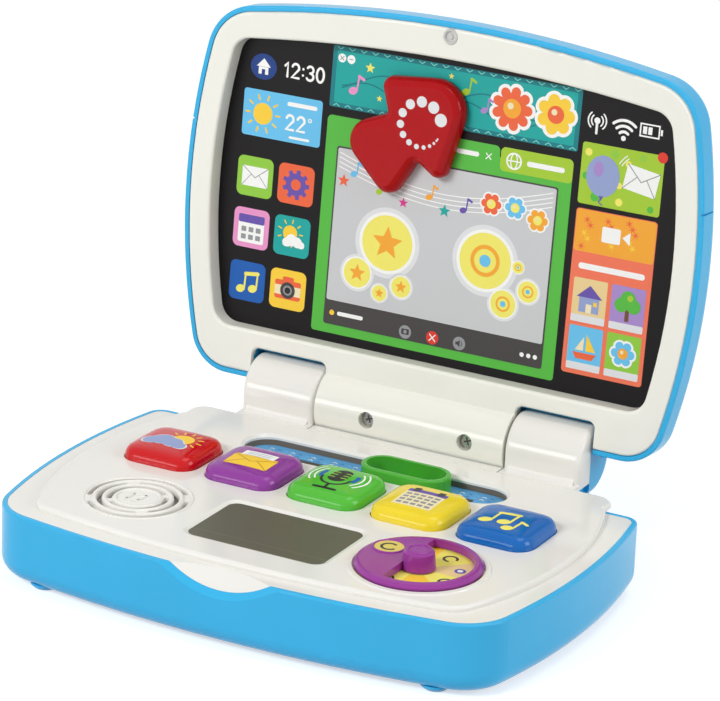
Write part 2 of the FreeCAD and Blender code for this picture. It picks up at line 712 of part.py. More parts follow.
def deck_cover():
    plate = extrude("deck_plate", base_outline(n.lip + n.fit), DECK_UNDER, "dims.deck_thick")
    saddle = block("deck_saddle", (-n.saddle_half + n.lip + n.fit, -n.base_rear - 12, deck_under),
                   (n.saddle_half - n.lip - n.fit, -n.saddle_rear - n.lip - n.fit, deck_top))
    raised = extrude("deck_plateau", plateau_outline(0), DECK_TOP, "dims.plateau_rise")
    rear = -n.saddle_rear - n.lip - n.fit
    wide = n.saddle_half - n.lip - n.fit
    ahead = -n.base_rear - n.saddle_corner
    raised_middle = block("deck_plateau_middle", (-wide, ahead, deck_top), (wide, rear, plateau_top))
    half, corner = n.raised_half, n.saddle_corner
    raised_wide = extrude("deck_plateau_rear",
                          rounded_polygon([(-half, ahead, 0), (half, ahead, 0),
                                           (half, rear, corner), (-half, rear, corner)]),
                          "dims.rim_height + dims.fit", PLATEAU_TOP + " - dims.rim_height - dims.fit")
    soft = rounded("deck_plateau_soft", fuse("deck_top", [raised, raised_middle, raised_wide]), n.plateau_round,
                   lambda e: lies_at(plateau_top)(e) and e.BoundBox.YMin < rear - 1)
    apron = block("deck_apron", apron_low(0), apron_high(0))
    apron_fit = common("deck_apron_fit", apron,
                       extrude("deck_apron_outline", base_outline(n.lip + n.fit), "0",
                               DECK_TOP + " - 0.5"))
    below = n.hinge_height - plateau_top
    shelf_edge = math.sqrt(n.barrel_radius ** 2 - below ** 2) + n.shelf_gap
    shelf = block("deck_barrel_shelf", (-n.barrel_half, rear - 1, n.rim_height + n.fit),
                  (n.barrel_half, -shelf_edge, plateau_top))
    body = fuse("deck_body", [plate, saddle, soft, apron_fit, shelf])
    hollow = extrude("deck_hollow", plateau_outline(n.deck_thick + 1.5), DECK_UNDER + " - 1",
                     "dims.plateau_rise + 1")
    shelled = cut("deck_shell", body, [hollow])
    pan = turned("deck_dial_pan", pan_profile(), Vector(n.side_x, -n.row_y, 0))
    lips = turned("deck_dial_lip", lip_profile(), Vector(n.side_x, -n.row_y, 0))
    bosses = []
    for i, (x, y) in enumerate(screw_spots):
        bosses.append(rod("deck_boss_%d" % i, "dims.post_radius", "%f" % (plateau_under + 0.5 - post_top),
                          Vector(x, y, post_top)))
    caps = []
    for side in (-1, 1):
        left = n.knuckle_in if side > 0 else -n.knuckle_out
        right = left + n.knuckle_out - n.knuckle_in
        sill = n.rim_height + n.fit / 2
        split = -(n.knuckle_split + n.fit / 2)
        caps.append(knuckle("deck_knuckle_%d" % (side + 1), side, -n.knuckle_radius - 1, split,
                            sill))
        wall = block("deck_knuckle_wall_%d" % (side + 1), (left, -n.knuckle_radius, sill),
                     (right, split, n.hinge_height))
        caps.append(rounded("deck_knuckle_wall_soft_%d" % (side + 1), wall, n.knuckle_round,
                            lambda e: e.BoundBox.YMax < 0.01 - n.knuckle_radius
                            and e.BoundBox.XMax - e.BoundBox.XMin < 1e-4))
        caps.append(block("deck_knuckle_foot_%d" % (side + 1), (left, rear - 1, sill),
                          (right, -n.knuckle_radius + n.knuckle_round, plateau_top)))
        start = KNUCKLE_IN if side > 0 else "-" + KNUCKLE_OUT
        caps.append(extrude("deck_knuckle_skirt_%d" % (side + 1), skirt_profile(),
                            start + " + dims.knuckle_round",
                            "dims.knuckle_length - 2 * dims.knuckle_round", ALONG_X))
    full = fuse("deck_full", [shelled, pan, lips] + bosses + caps)
    cuts = [scoop_cutter("deck_scoop")]
    for i, x in enumerate(button_xs):
        size = n.button_size + 2 * n.button_gap
        cuts.append(extrude("deck_button_hole_%d" % i,
                            rounded_box(x, -n.button_y, size, size, n.button_corner + n.button_gap),
                            DECK_UNDER, "20"))
    cuts.append(display_cutter())
    cuts.append(slot_cutter())
    cuts.append(extrude("deck_tray_room", slot_outline(n.tray_wall + n.fit), DECK_UNDER + " - 1",
                        "dims.plateau_rise + 1"))
    cuts.append(rod("deck_dial_hole", "dims.dial_radius + dims.dial_gap", "20",
                    Vector(n.side_x, -n.row_y, pan_floor)))
    cuts.append(rod("deck_dial_bore", "dims.shaft_radius + dims.running", "60",
                    Vector(n.side_x, -n.row_y, 0)))
    cuts += grille_slots((-n.side_x, -n.row_y))
    for i, (x, y) in enumerate(screw_spots):
        cuts.append(rod("deck_screw_hole_%d" % i, "dims.screw_radius + dims.running",
                        "%f" % (plateau_under - 5.5), Vector(x, y, 0)))
    node("deck_cover", cut("deck_node", full, cuts))


def pan_profile():
    r = n.dial_radius + n.dial_gap
    return [(0, pan_floor - 2), (r + 2, pan_floor - 2), (r + 2, plateau_top - 0.4), (0, plateau_top - 0.4)]


def lip_profile():
    r = n.dial_radius + n.dial_gap
    return [(r - 1, plateau_top - 1), (r + 3.4, plateau_top - 1), (r + 2.2, plateau_top + 0.6),
            (r - 1, plateau_top + 0.6)]


def display_outline(grow):
    return rounded_box(0, -n.row_y, n.display_width + 2 * grow, n.display_depth + 2 * grow,
                       n.display_corner + grow)


def bevel_cutter(name, outline, drop, grow):
    # sloping edge of an opening, from drop below the plateau up to its face
    lower = sketch(name + "_low", outline(0), Vector(0, 0, plateau_top - drop), ALONG_Z)
    upper = sketch(name + "_high", outline(grow), Vector(0, 0, plateau_top + 0.01), ALONG_Z)
    bevel = doc.addObject("Part::Loft", name)
    bevel.Sections = [lower, upper]
    bevel.Solid = True
    bevel.Ruled = True
    return bevel


def display_cutter():
    hole = extrude("deck_display_hole", display_outline(0), DECK_UNDER, "20")
    return together("deck_display_cut",
                    [hole, bevel_cutter("deck_bevel", display_outline, n.display_drop, n.display_bevel)])


def slot_outline(grow):
    return rounded_box(0, -n.slot_y, n.slot_length + 2 * grow, n.slot_width + 2 * grow,
                       (n.slot_width + 2 * grow) / 2 - 0.01)


def slot_cutter():
    hole = extrude("deck_slot", slot_outline(0), DECK_UNDER, "20")
    return together("deck_slot_cut",
                    [hole, bevel_cutter("deck_slot_bevel", slot_outline, n.slot_bevel, n.slot_bevel)])


def deck_inner():
    flange = extrude("window_flange", display_outline(n.display_flange),
                     PLATEAU_UNDER + " - dims.window_thick", "dims.window_thick")
    pane = extrude("window_pane", display_outline(-n.fit), PLATEAU_UNDER + " - dims.window_thick",
                   "dims.window_thick + dims.deck_thick - dims.display_drop")
    node("display_window", fuse("window_node", [flange, pane]))
    tray_top = plateau_under
    outside = extrude("tray_outside", slot_outline(n.tray_wall),
                      "%s - dims.tray_depth - dims.tray_wall" % PLATEAU_TOP,
                      "dims.tray_depth + dims.tray_wall - dims.deck_thick")
    inside = extrude("tray_inside", slot_outline(0), "%s - dims.tray_depth" % PLATEAU_TOP,
                     "dims.tray_depth + 5")
    slit = guide_slit("tray_slit", 0)
    node("slider_tray", cut("tray_node", outside, [inside, slit]))
    card = extrude("card_strip", slot_outline(-0.2), "%s - dims.tray_depth" % PLATEAU_TOP, "0.4")
    node("slider_card", cut("card_node", card, [guide_slit("card_slit", 0.1)]))
    disc = rod("dial_card_disc", "dims.dial_radius - 0.4", "0.4", Vector(n.side_x, -n.row_y, pan_floor))
    hole = rod("dial_card_hole", "dims.shaft_radius + 1", "2", Vector(n.side_x, -n.row_y, pan_floor - 1))
    node("dial_card", cut("dial_card_node", disc, [hole]))
    speaker_at = Vector(-n.side_x, -n.row_y, 0)
    node("speaker", turned("speaker_solid", speaker_profile(), speaker_at))


def guide_slit(name, grow):
    run = n.slot_length - n.ring_length + 12
    return extrude(name, rounded_box(0, -n.slot_y, run + 2 * grow, n.guide_width + 2 * grow, 1.5),
                   "%s - dims.tray_depth - dims.tray_wall - 1" % PLATEAU_TOP, "dims.tray_wall + 3")


def speaker_profile():
    top = plateau_under
    r = n.grille_outer + 2
    return [(0, top - 13), (10, top - 13), (10, top - 7), (r - 4, top - 2), (r, top - 2), (r, top),
            (r - 2.5, top), (r - 4, top - 1), (0, top - 4)]


def board_and_mat():
    board = block("board_plate", (-104, -n.button_y - 21, n.board_top - n.board_thick),
                  (104, -n.button_y + 20, n.board_top))
    gaps = []
    for i, (x, y) in enumerate(screw_spots):
        gaps.append(rod("board_gap_%d" % i, "dims.post_radius + 0.5", "60", Vector(x, y, 0)))
    node("main_board", cut("board_node", board, gaps))
    sheet_part = block("mat_sheet", (-103, -n.button_y - 15, n.board_top),
                       (103, -n.button_y + 10, n.board_top + 0.8))
    domes = []
    for i, x in enumerate(button_xs):
        height = plateau_under - n.flange_thick - n.button_travel - 0.6 - n.board_top
        domes.append(turned("mat_dome_%d" % i,
                            [(0, n.board_top + 0.4), (7, n.board_top + 0.4), (4.5, n.board_top + height),
                             (0, n.board_top + height)], Vector(x, -n.button_y, 0)))
    node("button_mat", fuse("mat_node", [sheet_part] + domes))


# moving pieces of the deck
def above(level):
    return lambda e: e.BoundBox.ZMin > level


def button(name, x):
    cap = extrude(name + "_cap",
                  rounded_box(x, -n.button_y, n.button_size, n.button_size, n.button_corner),
                  PLATEAU_UNDER + " - dims.flange_thick",
                  "dims.deck_thick + dims.flange_thick + dims.button_rise")
    dome = ball(name + "_dome", "dims.button_dome",
                Vector(x, -n.button_y, plateau_top + n.button_rise - n.button_dome))
    domed = common(name + "_domed", cap, dome)
    crown = rounded(name + "_crown", domed, n.button_crown, above(plateau_top))
    size = n.button_size + 2 * n.button_flange
    flange = extrude(name + "_flange",
                     rounded_box(x, -n.button_y, size, size, n.button_corner + n.button_flange),
                     PLATEAU_UNDER + " - dims.flange_thick - dims.fit", "dims.flange_thick")
    node(name, fuse(name + "_node", [crown, flange]))


def slider():
    bottom = tray_floor + 0.7
    top = plateau_top + n.ring_rise
    high = "%f" % (top - bottom)
    y = -n.slot_y
    outer = extrude("ring_outer", rounded_box(n.ring_x, y, n.ring_length, n.ring_width,
                                              n.ring_width / 2 - 0.01), "%f" % bottom, high)
    soft = rounded("ring_soft", outer, 0.9, lies_at(top))
    inside_w = n.ring_width - 2 * n.ring_wall
    hole = extrude("ring_hole", rounded_box(n.ring_x, y, n.ring_length - 2 * n.ring_wall, inside_w,
                                            inside_w / 2 - 0.01), "%f" % (bottom - 1), "60")
    ring = cut("ring_tube", soft, [hole])
    bar = block("ring_bar", (n.ring_x - 5, y - n.ring_width / 2 + 1, bottom),
                (n.ring_x + 5, y + n.ring_width / 2 - 1, bottom + 1.6))
    stem_w = n.guide_width - 0.3
    under = tray_floor - n.tray_wall
    stem = block("ring_stem", (n.ring_x - 4, y - stem_w / 2, under - 2.7),
                 (n.ring_x + 4, y + stem_w / 2, bottom + 0.5))
    node("slider_ring", fuse("ring_node", [ring, bar, stem]))
    plate = block("carriage_plate", (n.ring_x - 8, y - 6, under - 2.7), (n.ring_x + 8, y + 6, under - 0.3))
    socket = block("carriage_socket", (n.ring_x - 4.05, y - stem_w / 2 - 0.05, under - 3),
                   (n.ring_x + 4.05, y + stem_w / 2 + 0.05, under))
    node("slider_carriage", cut("carriage_node", plate, [socket]))


def dial():
    low = pan_floor + 1
    rim = plateau_top + n.dial_rise
    at = Vector(n.side_x, -n.row_y, 0)
    r = n.dial_radius
    disc = turned("dial_disc", [(0, low), (r - 0.6, low), (r, low + 0.8), (r, rim - 1.6), (r - 1.2, rim - 0.3),
                                (r - 2.4, rim), (0, rim + 0.4)], at)
    top = plateau_top + n.hub_rise
    hub = turned("dial_hub", [(0, low), (n.dial_hub + 0.8, low), (n.dial_hub, top - 0.9),
                              (n.dial_hub - 0.9, top), (0, top)], at)
    shaft = rod("dial_shaft", "dims.shaft_radius", "%f" % (low - pan_floor + 7),
                Vector(n.side_x, -n.row_y, pan_floor - 6))
    window_r = r - n.dial_ring
    span = math.degrees(math.acos(-5.0 / window_r))
    centre = (n.side_x, -n.row_y)
    a, b = polar(centre, window_r, span), polar(centre, window_r, -span)
    window = extrude("dial_window", [arc(b, polar(centre, window_r, 0), a), line(a, b)],
                     "%f" % (low - 1), "40")
    spot = rod("dial_spot", "5.4", "40", Vector(n.side_x - 19, -n.row_y + 6, low - 1))
    pierced = cut("dial_pierced", disc, [window, spot])
    node("dial_wheel", fuse("dial_node", [pierced, hub, shaft]))
    washer = rod("dial_washer", "dims.shaft_radius + 3.5", "1.6", Vector(n.side_x, -n.row_y, pan_floor - 3.9))
    hole = rod("dial_washer_hole", "dims.shaft_radius + 0.02", "4", Vector(n.side_x, -n.row_y, pan_floor - 5))
    node("dial_clip", cut("dial_clip_node", washer, [hole]))


# lid
def notch_edges():
    low, top = -30, n.notch_top
    left = n.barrel_half + 0.2
    right = n.knuckle_out + n.notch_gap
    return [(left, low, 0), (right, low, 0), (right, top, 4), (left, top, 4)]


def both_sides(name, corners, start, length):
    made = []
    for side in (1, -1):
        edges = rounded_polygon([(side * x, y, r) for x, y, r in corners])
        made.append(extrude("%s_%d" % (name, side + 1), edges, start, length))
    return made


lid_screw_x = n.cover_half - n.lid_screw_in
lid_screw_spots = [(s * lid_screw_x, y) for y in (64, 128) for s in (-1, 1)]


def barrel_screw_at(side, depth):
    return Vector(n.barrel_screw_mid + side * n.barrel_screw_half, n.barrel_screw_y, depth)


def lid_bezel():
    face = "dims.face_out"
    plate = extrude("bezel_plate", lid_outline(n.lip + n.fit), face + " - dims.bezel_thick",
                    "dims.bezel_thick")
    wall = extrude("bezel_wall_block", screen_outline(n.bezel_wall), face + " - dims.screen_depth",
                   "dims.screen_depth - 1")
    barrel = rod("bezel_barrel", "dims.barrel_radius", "2 * dims.barrel_half",
                 Vector(-n.barrel_half, 0, 0), ALONG_X)
    neck = block("bezel_neck", (-n.barrel_half, 0, 0), (n.barrel_half, n.notch_top - 1.5, n.face_out - 0.5))
    front = block("bezel_front_half", (-n.barrel_half, -30, n.fit / 2), (n.barrel_half, 30, 30))
    half = common("bezel_barrel_half", fuse("bezel_barrel_body", [barrel, neck]), front)
    bosses = []
    for i, (x, y) in enumerate(lid_screw_spots):
        bosses.append(rod("bezel_boss_%d" % i, "3.2", "%f" % (bezel_under - lid_back_face - n.lid_skin + 0.5),
                          Vector(x, y, lid_back_face + n.lid_skin)))
    opening = extrude("bezel_opening", screen_outline(0), face + " - dims.screen_depth - 1", "40")
    frame = cut("bezel_frame", fuse("bezel_frame_body", [plate, wall]), [opening])
    soft = rounded("bezel_soft", frame, n.bezel_round, lies_at(n.face_out))
    body = fuse("bezel_body", [soft, half] + bosses)
    cuts = both_sides("bezel_notch", notch_edges(), "-40", "80")
    cuts.append(rod("bezel_lens_well", "dims.lens_radius + 0.1", "3", Vector(0, n.lens_y, n.face_out - 1.2)))
    cuts.append(rod("bezel_pin_bore", "dims.shaft_radius + dims.running", "200", Vector(-100, 0, 0), ALONG_X))
    for side in (-1, 1):
        at = barrel_screw_at(side, n.barrel_screw_seat)
        cuts.append(rod("bezel_screw_well_%d" % (side + 1), "dims.head_radius + 0.9", "20", at))
        cuts.append(rod("bezel_screw_hole_%d" % (side + 1), "dims.screw_radius + dims.running", "40",
                        at - Vector(0, 0, 30)))
    for i, (x, y) in enumerate(lid_screw_spots):
        cuts.append(rod("bezel_boss_hole_%d" % i, "dims.screw_radius + dims.running", "9.5",
                        Vector(x, y, lid_back_face)))
    carved = cut("bezel_carved", body, cuts)
    node("lid_bezel", carved, lid_place)


def lid_back():
    outer = extrude("back_outer", lid_outline(0), "dims.face_out - dims.lid_thick", "dims.lid_thick - 0.2")
    soft = rounded("back_soft", outer, n.lid_round, lies_at(lid_back_face))
    lipped = rounded("back_lip", soft, 1.0, lies_at(n.face_out - 0.2))
    housing = rod("back_housing", "dims.barrel_radius + 2.5", "2 * (%s + dims.notch_gap + 2)" % KNUCKLE_OUT,
                  Vector(-(n.knuckle_out + n.notch_gap + 2), 0, 0), ALONG_X)
    wide = n.knuckle_out + n.notch_gap + 2
    quarter = common("back_quarter", housing, block("back_quarter_box", (-wide, 1, -40), (wide, 40, 0)))
    barrel = rod("back_barrel", "dims.barrel_radius", "2 * dims.barrel_half",
                 Vector(-n.barrel_half, 0, 0), ALONG_X)
    rear = common("back_barrel_half", barrel,
                  block("back_rear_half", (-n.barrel_half, -30, -40), (n.barrel_half, 30, -n.fit / 2)))
    body = fuse("back_body", [lipped, quarter, rear])
    cuts = [extrude("back_recess", lid_outline(n.lip), "dims.face_out - dims.bezel_thick", "20")]
    cuts.append(extrude("back_hollow", lid_outline(n.lip + 1.2, n.notch_top + 3.5),
                        "dims.face_out - dims.lid_thick + dims.lid_skin", "dims.lid_thick"))
    cuts.append(block("back_middle", (-n.barrel_half - 0.2, -40, -n.fit / 2),
                      (n.barrel_half + 0.2, n.notch_top - 1.4, 40)))
    cuts += both_sides("back_notch", notch_edges(), "-dims.fit", "60")
    left = n.barrel_half + 0.2
    for side in (-1, 1):
        x0 = left if side > 0 else -n.knuckle_out - n.notch_gap
        cuts.append(rod("back_knuckle_room_%d" % (side + 1), "dims.barrel_radius + 0.5",
                        "%f" % (n.knuckle_out + n.notch_gap - left), Vector(x0, 0, 0), ALONG_X))
        at = barrel_screw_at(side, -10)
        cuts.append(rod("back_screw_hole_%d" % (side + 1), "dims.screw_radius + dims.running", "40", at))
    cuts.append(rod("back_pin_bore", "dims.shaft_radius + dims.running", "200", Vector(-100, 0, 0), ALONG_X))
    for i, (x, y) in enumerate(lid_screw_spots):
        cuts.append(rod("back_lid_hole_%d" % i, "dims.screw_radius + dims.running", "20",
                        Vector(x, y, lid_back_face - 1)))
        cuts.append(rod("back_lid_well_%d" % i, "dims.head_radius + 0.4", "2.2",
                        Vector(x, y, lid_back_face - 1)))
    edge = n.cover_half + n.lip
    off = n.groove_y - n.widest
    groove_floor = edge - n.side_bow + math.sqrt(n.side_bow ** 2 - off ** 2)
    for side in (-1, 1):
        ends = sorted((side * (groove_floor - n.groove_depth), side * (edge + 1)))
        cuts.append(block("back_groove_%d" % (side + 1),
                          (ends[0], n.groove_y - n.groove_width / 2, lid_back_face - 1),
                          (ends[1], n.groove_y + n.groove_width / 2, n.face_out + 1)))
    node("lid_back", cut("back_node", body, cuts), lid_place)


def lens_profile():
    # raised rim round a shallow dish with a small dome in it
    r, seat, face = n.lens_radius, n.face_out - 1.2, n.face_out
    return [(0, seat), (r, seat), (r, face + 0.2), (r - 0.5, face + 0.5), (r - 1, face + 0.2),
            (r - 1.3, face - 0.6), (1.4, face - 0.6), (1.1, face - 0.2), (0, face)]


def lid_small_pieces():
    panel = extrude("panel_plate", screen_outline(n.bezel_wall - 0.3),
                    "dims.face_out - dims.screen_depth - dims.panel_thick", "dims.panel_thick")
    hole = rod("panel_hole", "dims.shaft_radius + dims.running", "40", Vector(n.cursor_x, n.cursor_y, -20))
    node("screen_panel", cut("panel_node", panel, [hole]), lid_place)
    node("camera_lens", turned("lens_solid", lens_profile(), Vector(0, n.lens_y, 0)), lid_place)
    pins = []
    reach_in, reach_out = 12, 24
    for side in (-1, 1):
        x0 = n.barrel_half - reach_in if side > 0 else -n.barrel_half - reach_out
        pins.append(rod("hinge_pin_%d" % (side + 1), "dims.shaft_radius", "%d" % (reach_in + reach_out),
                        Vector(x0, 0, 0), ALONG_X))
    node("hinge_pins", together("hinge_pin_pair", pins), lid_place)
    fixings = []
    for side in (-1, 1):
        at = barrel_screw_at(side, n.barrel_screw_seat)
        head = rod("barrel_head_%d" % (side + 1), "dims.head_radius", "dims.head_thick", at)
        shank = rod("barrel_shank_%d" % (side + 1), "dims.screw_radius", "dims.barrel_screw_length",
                    at - Vector(0, 0, n.barrel_screw_length - 0.2))
        fixings.append(fuse("barrel_screw_%d" % (side + 1), [head, shank]))
    node("barrel_screws", together("barrel_screw_pair", fixings), lid_place)
    backs = []
    for i, (x, y) in enumerate(lid_screw_spots):
        at = Vector(x, y, lid_back_face - 0.9)
        head = rod("lid_head_%d" % i, "dims.head_radius", "2", at)
        shank = rod("lid_shank_%d" % i, "dims.screw_radius", "9", at + Vector(0, 0, 1))
        backs.append(fuse("lid_screw_%d" % i, [head, shank]))
    node("lid_screws", together("lid_screw_set", backs), lid_place)


ARROW = [(-22.5, 18.5, 5), (24, 23.5, 15), (11, -27.5, 5), (-2, -18.5, 2),
         (-14.5, -40, 7), (-45, -9.5, 11), (-17.5, 1.8, 2)]


def cursor():
    low = screen_face + n.cursor_lift
    top = low + n.cursor_thick
    corners = [(n.cursor_x + x, n.cursor_y + y, r) for x, y, r in ARROW]
    slab = extrude("cursor_slab", rounded_polygon(corners), "%f" % low, "dims.cursor_thick")
    soft = rounded("cursor_soft", slab, n.cursor_round, lies_at(top))
    node("cursor_knob", soft, lid_place)
    shaft = rod("cursor_pin", "dims.shaft_radius", "%f" % (n.panel_thick + n.cursor_lift + 1.9),
                Vector(n.cursor_x, n.cursor_y, screen_face - n.panel_thick - 1.9))
    node("cursor_shaft", shaft, lid_place)
    washer = rod("cursor_washer", "dims.shaft_radius + 3", "1.4",
                 Vector(n.cursor_x, n.cursor_y, screen_face - n.panel_thick - 1.7))
    hole = rod("cursor_washer_hole", "dims.shaft_radius + 0.02", "6",
               Vector(n.cursor_x, n.cursor_y, screen_face - n.panel_thick - 4))
    node("cursor_clip", cut("cursor_clip_node", washer, [hole]), lid_place)


def export():
    doc.recompute()
    for thing in doc.Objects:
        if "Invalid" in thing.State or "Error" in thing.State:
            raise RuntimeError("%s does not build" % thing.Name)
    for solid in nodes:
        shape = solid.Shape
        if shape.isNull() or not shape.isValid() or not shape.Solids:
            raise RuntimeError("%s has no sound shape" % solid.Label)
        shape.exportStep("parts/%s.step" % solid.Label)


base_tub()
battery_pieces()
case_screws()
deck_cover()
deck_inner()
board_and_mat()
for button_name, button_x in zip(("weather_button", "mail_button", "voice_button",
                                  "calendar_button", "music_button"), button_xs):
    button(button_name, button_x)
slider()
dial()
lid_bezel()
lid_back()
lid_small_pieces()
cursor()
export()
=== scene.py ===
import json
import math

import bmesh
import bpy
from mathutils import Matrix, Vector


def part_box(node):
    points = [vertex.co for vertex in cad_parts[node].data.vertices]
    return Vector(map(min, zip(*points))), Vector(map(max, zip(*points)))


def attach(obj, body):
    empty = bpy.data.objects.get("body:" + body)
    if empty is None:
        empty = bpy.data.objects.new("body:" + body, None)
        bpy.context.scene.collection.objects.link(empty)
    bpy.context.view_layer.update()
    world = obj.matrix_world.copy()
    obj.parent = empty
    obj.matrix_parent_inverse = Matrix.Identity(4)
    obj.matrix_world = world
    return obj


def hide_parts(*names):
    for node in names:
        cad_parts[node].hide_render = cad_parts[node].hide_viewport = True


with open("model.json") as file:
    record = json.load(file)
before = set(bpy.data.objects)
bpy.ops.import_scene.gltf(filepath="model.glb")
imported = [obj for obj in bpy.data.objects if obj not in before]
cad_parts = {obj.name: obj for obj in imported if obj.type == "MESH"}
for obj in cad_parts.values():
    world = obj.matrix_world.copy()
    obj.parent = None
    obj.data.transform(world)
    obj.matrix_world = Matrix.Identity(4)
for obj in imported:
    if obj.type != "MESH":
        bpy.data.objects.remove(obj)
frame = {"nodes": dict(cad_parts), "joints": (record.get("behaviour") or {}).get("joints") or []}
nodes = frame["nodes"]
joints = {joint["name"]: joint for joint in frame["joints"]}
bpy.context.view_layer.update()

# Lengths are in millimetres until to_metres turns them into the frame's metres.
MM = 0.001
# the hinge axis, the lean of the open lid, the top of the deck and the screen's face in the lid
HINGE_Y, HINGE_Z = (v / MM for v in joints["lid_hinge"]["pos_m"][1:])
LEAN = math.asin(joints["cursor_turn"]["axis"][2])
PLATEAU = 37.0
SCREEN_FACE = -1.9


def to_metres(x, y, z):
    return Vector((x * MM, y * MM, z * MM))


def on_lid(x, y, z):
    # a point of the open lid: right, up the lid from the hinge, out of its face
    return to_metres(x, HINGE_Y + y * math.sin(LEAN) - z * math.cos(LEAN),
                     HINGE_Z + y * math.cos(LEAN) + z * math.sin(LEAN))


def on_deck(x, y, z):
    # a point of the base: right, back from the hinge line, up from the ground
    return to_metres(x, HINGE_Y + y, z)


def top_of(node):
    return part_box(node)[1][2] / MM


def deck_middle(node):
    # the middle of a node as right and back from the hinge line
    low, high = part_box(node)
    return (low[0] + high[0]) / 2 / MM, (low[1] + high[1]) / 2 / MM - HINGE_Y


def deck_joint(name):
    x, y, _ = joints[name]["pos_m"]
    return x / MM, y / MM - HINGE_Y


def lid_joint(name):
    x, y, z = (v / MM for v in joints[name]["pos_m"])
    return x, (y - HINGE_Y) * math.sin(LEAN) + (z - HINGE_Z) * math.cos(LEAN)


# materials
GRAIN_DETAIL = 3
BROAD_SCALE, BROAD_DETAIL = 22, 2
LEAST_ROUGH = 0.02
BUMP_DEPTH = 0.0002
COAT_ROUGH = 0.08
# the colour sockets of a Mix node
MIX_A, MIX_B, MIX_RESULT = 6, 7, 2


def linear(value):
    value = value / 255
    return value / 12.92 if value <= 0.04045 else ((value + 0.055) / 1.055) ** 2.4


def colour(rgb):
    return tuple(linear(v) for v in rgb) + (1,)


def noise(tree, place, scale, detail):
    made = tree.nodes.new("ShaderNodeTexNoise")
    made.inputs["Scale"].default_value = scale
    made.inputs["Detail"].default_value = detail
    tree.links.new(place.outputs["Object"], made.inputs["Vector"])
    return made.outputs["Fac"]


def colour_mix(tree, factor):
    made = tree.nodes.new("ShaderNodeMix")
    made.data_type = "RGBA"
    tree.links.new(factor, made.inputs["Factor"])
    return made


def is_above(tree, place, height):
    split = tree.nodes.new("ShaderNodeSeparateXYZ")
    tree.links.new(place.outputs["Object"], split.inputs[0])
    above = tree.nodes.new("ShaderNodeMath")
    above.operation = "GREATER_THAN"
    above.inputs[1].default_value = height
    tree.links.new(split.outputs["Z"], above.inputs[0])
    return above.outputs[0]


def material(name, rgb, rough=0.3, spread=0.05, grain=1400, bump=0.04, shade=0.05, coat=0.0,
             metal=0.0, shine=0.25, cap=None):
    """Moulded or printed surface: fine grain in its bump, roughness and colour.

    cap is a height in metres and the colour of the moulding above it."""
    made = bpy.data.materials.new(name)
    made.use_nodes = True
    tree = made.node_tree
    shader = tree.nodes["Principled BSDF"]
    place = tree.nodes.new("ShaderNodeTexCoord")
    fine = noise(tree, place, grain, GRAIN_DETAIL)
    tint = colour_mix(tree, noise(tree, place, BROAD_SCALE, BROAD_DETAIL))
    base = colour(rgb)
    tint.inputs[MIX_A].default_value = tuple(v * (1 - shade) for v in base[:3]) + (1,)
    tint.inputs[MIX_B].default_value = tuple(min(1, v * (1 + shade)) for v in base[:3]) + (1,)
    shown = tint.outputs[MIX_RESULT]
    if cap:
        hood = colour_mix(tree, is_above(tree, place, cap[0]))
        tree.links.new(shown, hood.inputs[MIX_A])
        hood.inputs[MIX_B].default_value = colour(cap[1])
        shown = hood.outputs[MIX_RESULT]
    tree.links.new(shown, shader.inputs["Base Color"])
    finish = tree.nodes.new("ShaderNodeMapRange")
    finish.inputs["To Min"].default_value = max(LEAST_ROUGH, rough - spread)
    finish.inputs["To Max"].default_value = rough + spread
    tree.links.new(fine, finish.inputs["Value"])
    tree.links.new(finish.outputs["Result"], shader.inputs["Roughness"])
    relief = tree.nodes.new("ShaderNodeBump")
    relief.inputs["Strength"].default_value = bump
    relief.inputs["Distance"].default_value = BUMP_DEPTH
    tree.links.new(fine, relief.inputs["Height"])
    tree.links.new(relief.outputs["Normal"], shader.inputs["Normal"])
    shader.inputs["Metallic"].default_value = metal
    shader.inputs["Specular IOR Level"].default_value = shine
    shader.inputs["Coat Weight"].default_value = coat
    shader.inputs["Coat Roughness"].default_value = COAT_ROUGH
    return made


INKS = {
    "black": (34, 30, 32), "white": (250, 250, 247), "sky": (107, 196, 240), "yellow": (253, 209, 62),
    "lemon": (246, 236, 110), "amber": (248, 170, 52), "orange": (240, 104, 62), "coral": (244, 120, 88),
    "red": (226, 58, 44), "pink": (236, 152, 202), "magenta": (214, 52, 140), "violet": (104, 82, 170),
    "lilac": (170, 140, 205), "blue": (20, 92, 176), "navy": (24, 60, 130), "teal": (22, 166, 160),
    "deep_teal": (12, 124, 132), "mint": (120, 214, 200), "green": (86, 186, 66), "lime": (166, 204, 52),
    "grass": (146, 204, 66), "steel": (150, 152, 154), "silver": (205, 206, 208), "pale": (228, 229, 231),
    "cloud": (190, 198, 214), "bluegrey": (150, 164, 208), "slate": (66, 62, 62), "tan": (238, 210, 150),
    "cream": (246, 232, 190), "brown": (140, 92, 40), "bark": (110, 74, 48), "olive": (118, 115, 97),
}
ink_cache = {}


def ink(name):
    if name not in ink_cache:
        ink_cache[name] = material("ink_" + name, INKS[name], rough=0.42, grain=2600, bump=0.015,
                                   shade=0.03)
    return ink_cache[name]


def paint(name, made):
    target = nodes[name]
    target.data.materials.clear()
    target.data.materials.append(made)


BLUE = (58, 181, 233)
WHITE = (238, 236, 230)
# the bezel's white, a little lighter and warmer than WHITE: painted light for the brighter front of the lid
LIT_WHITE = (243, 242, 232)
# the tub's part of each knuckle is white from this height up, in metres
KNUCKLE_HOOD = (HINGE_Z + 4.7) * MM
BUTTON_COLOURS = {
    "weather": ("button_red", (204, 12, 20)), "mail": ("button_purple", (144, 58, 156)),
    "voice": ("button_green", (84, 190, 56)), "calendar": ("button_yellow", (242, 216, 42)),
    "music": ("button_blue", (6, 102, 184)),
}

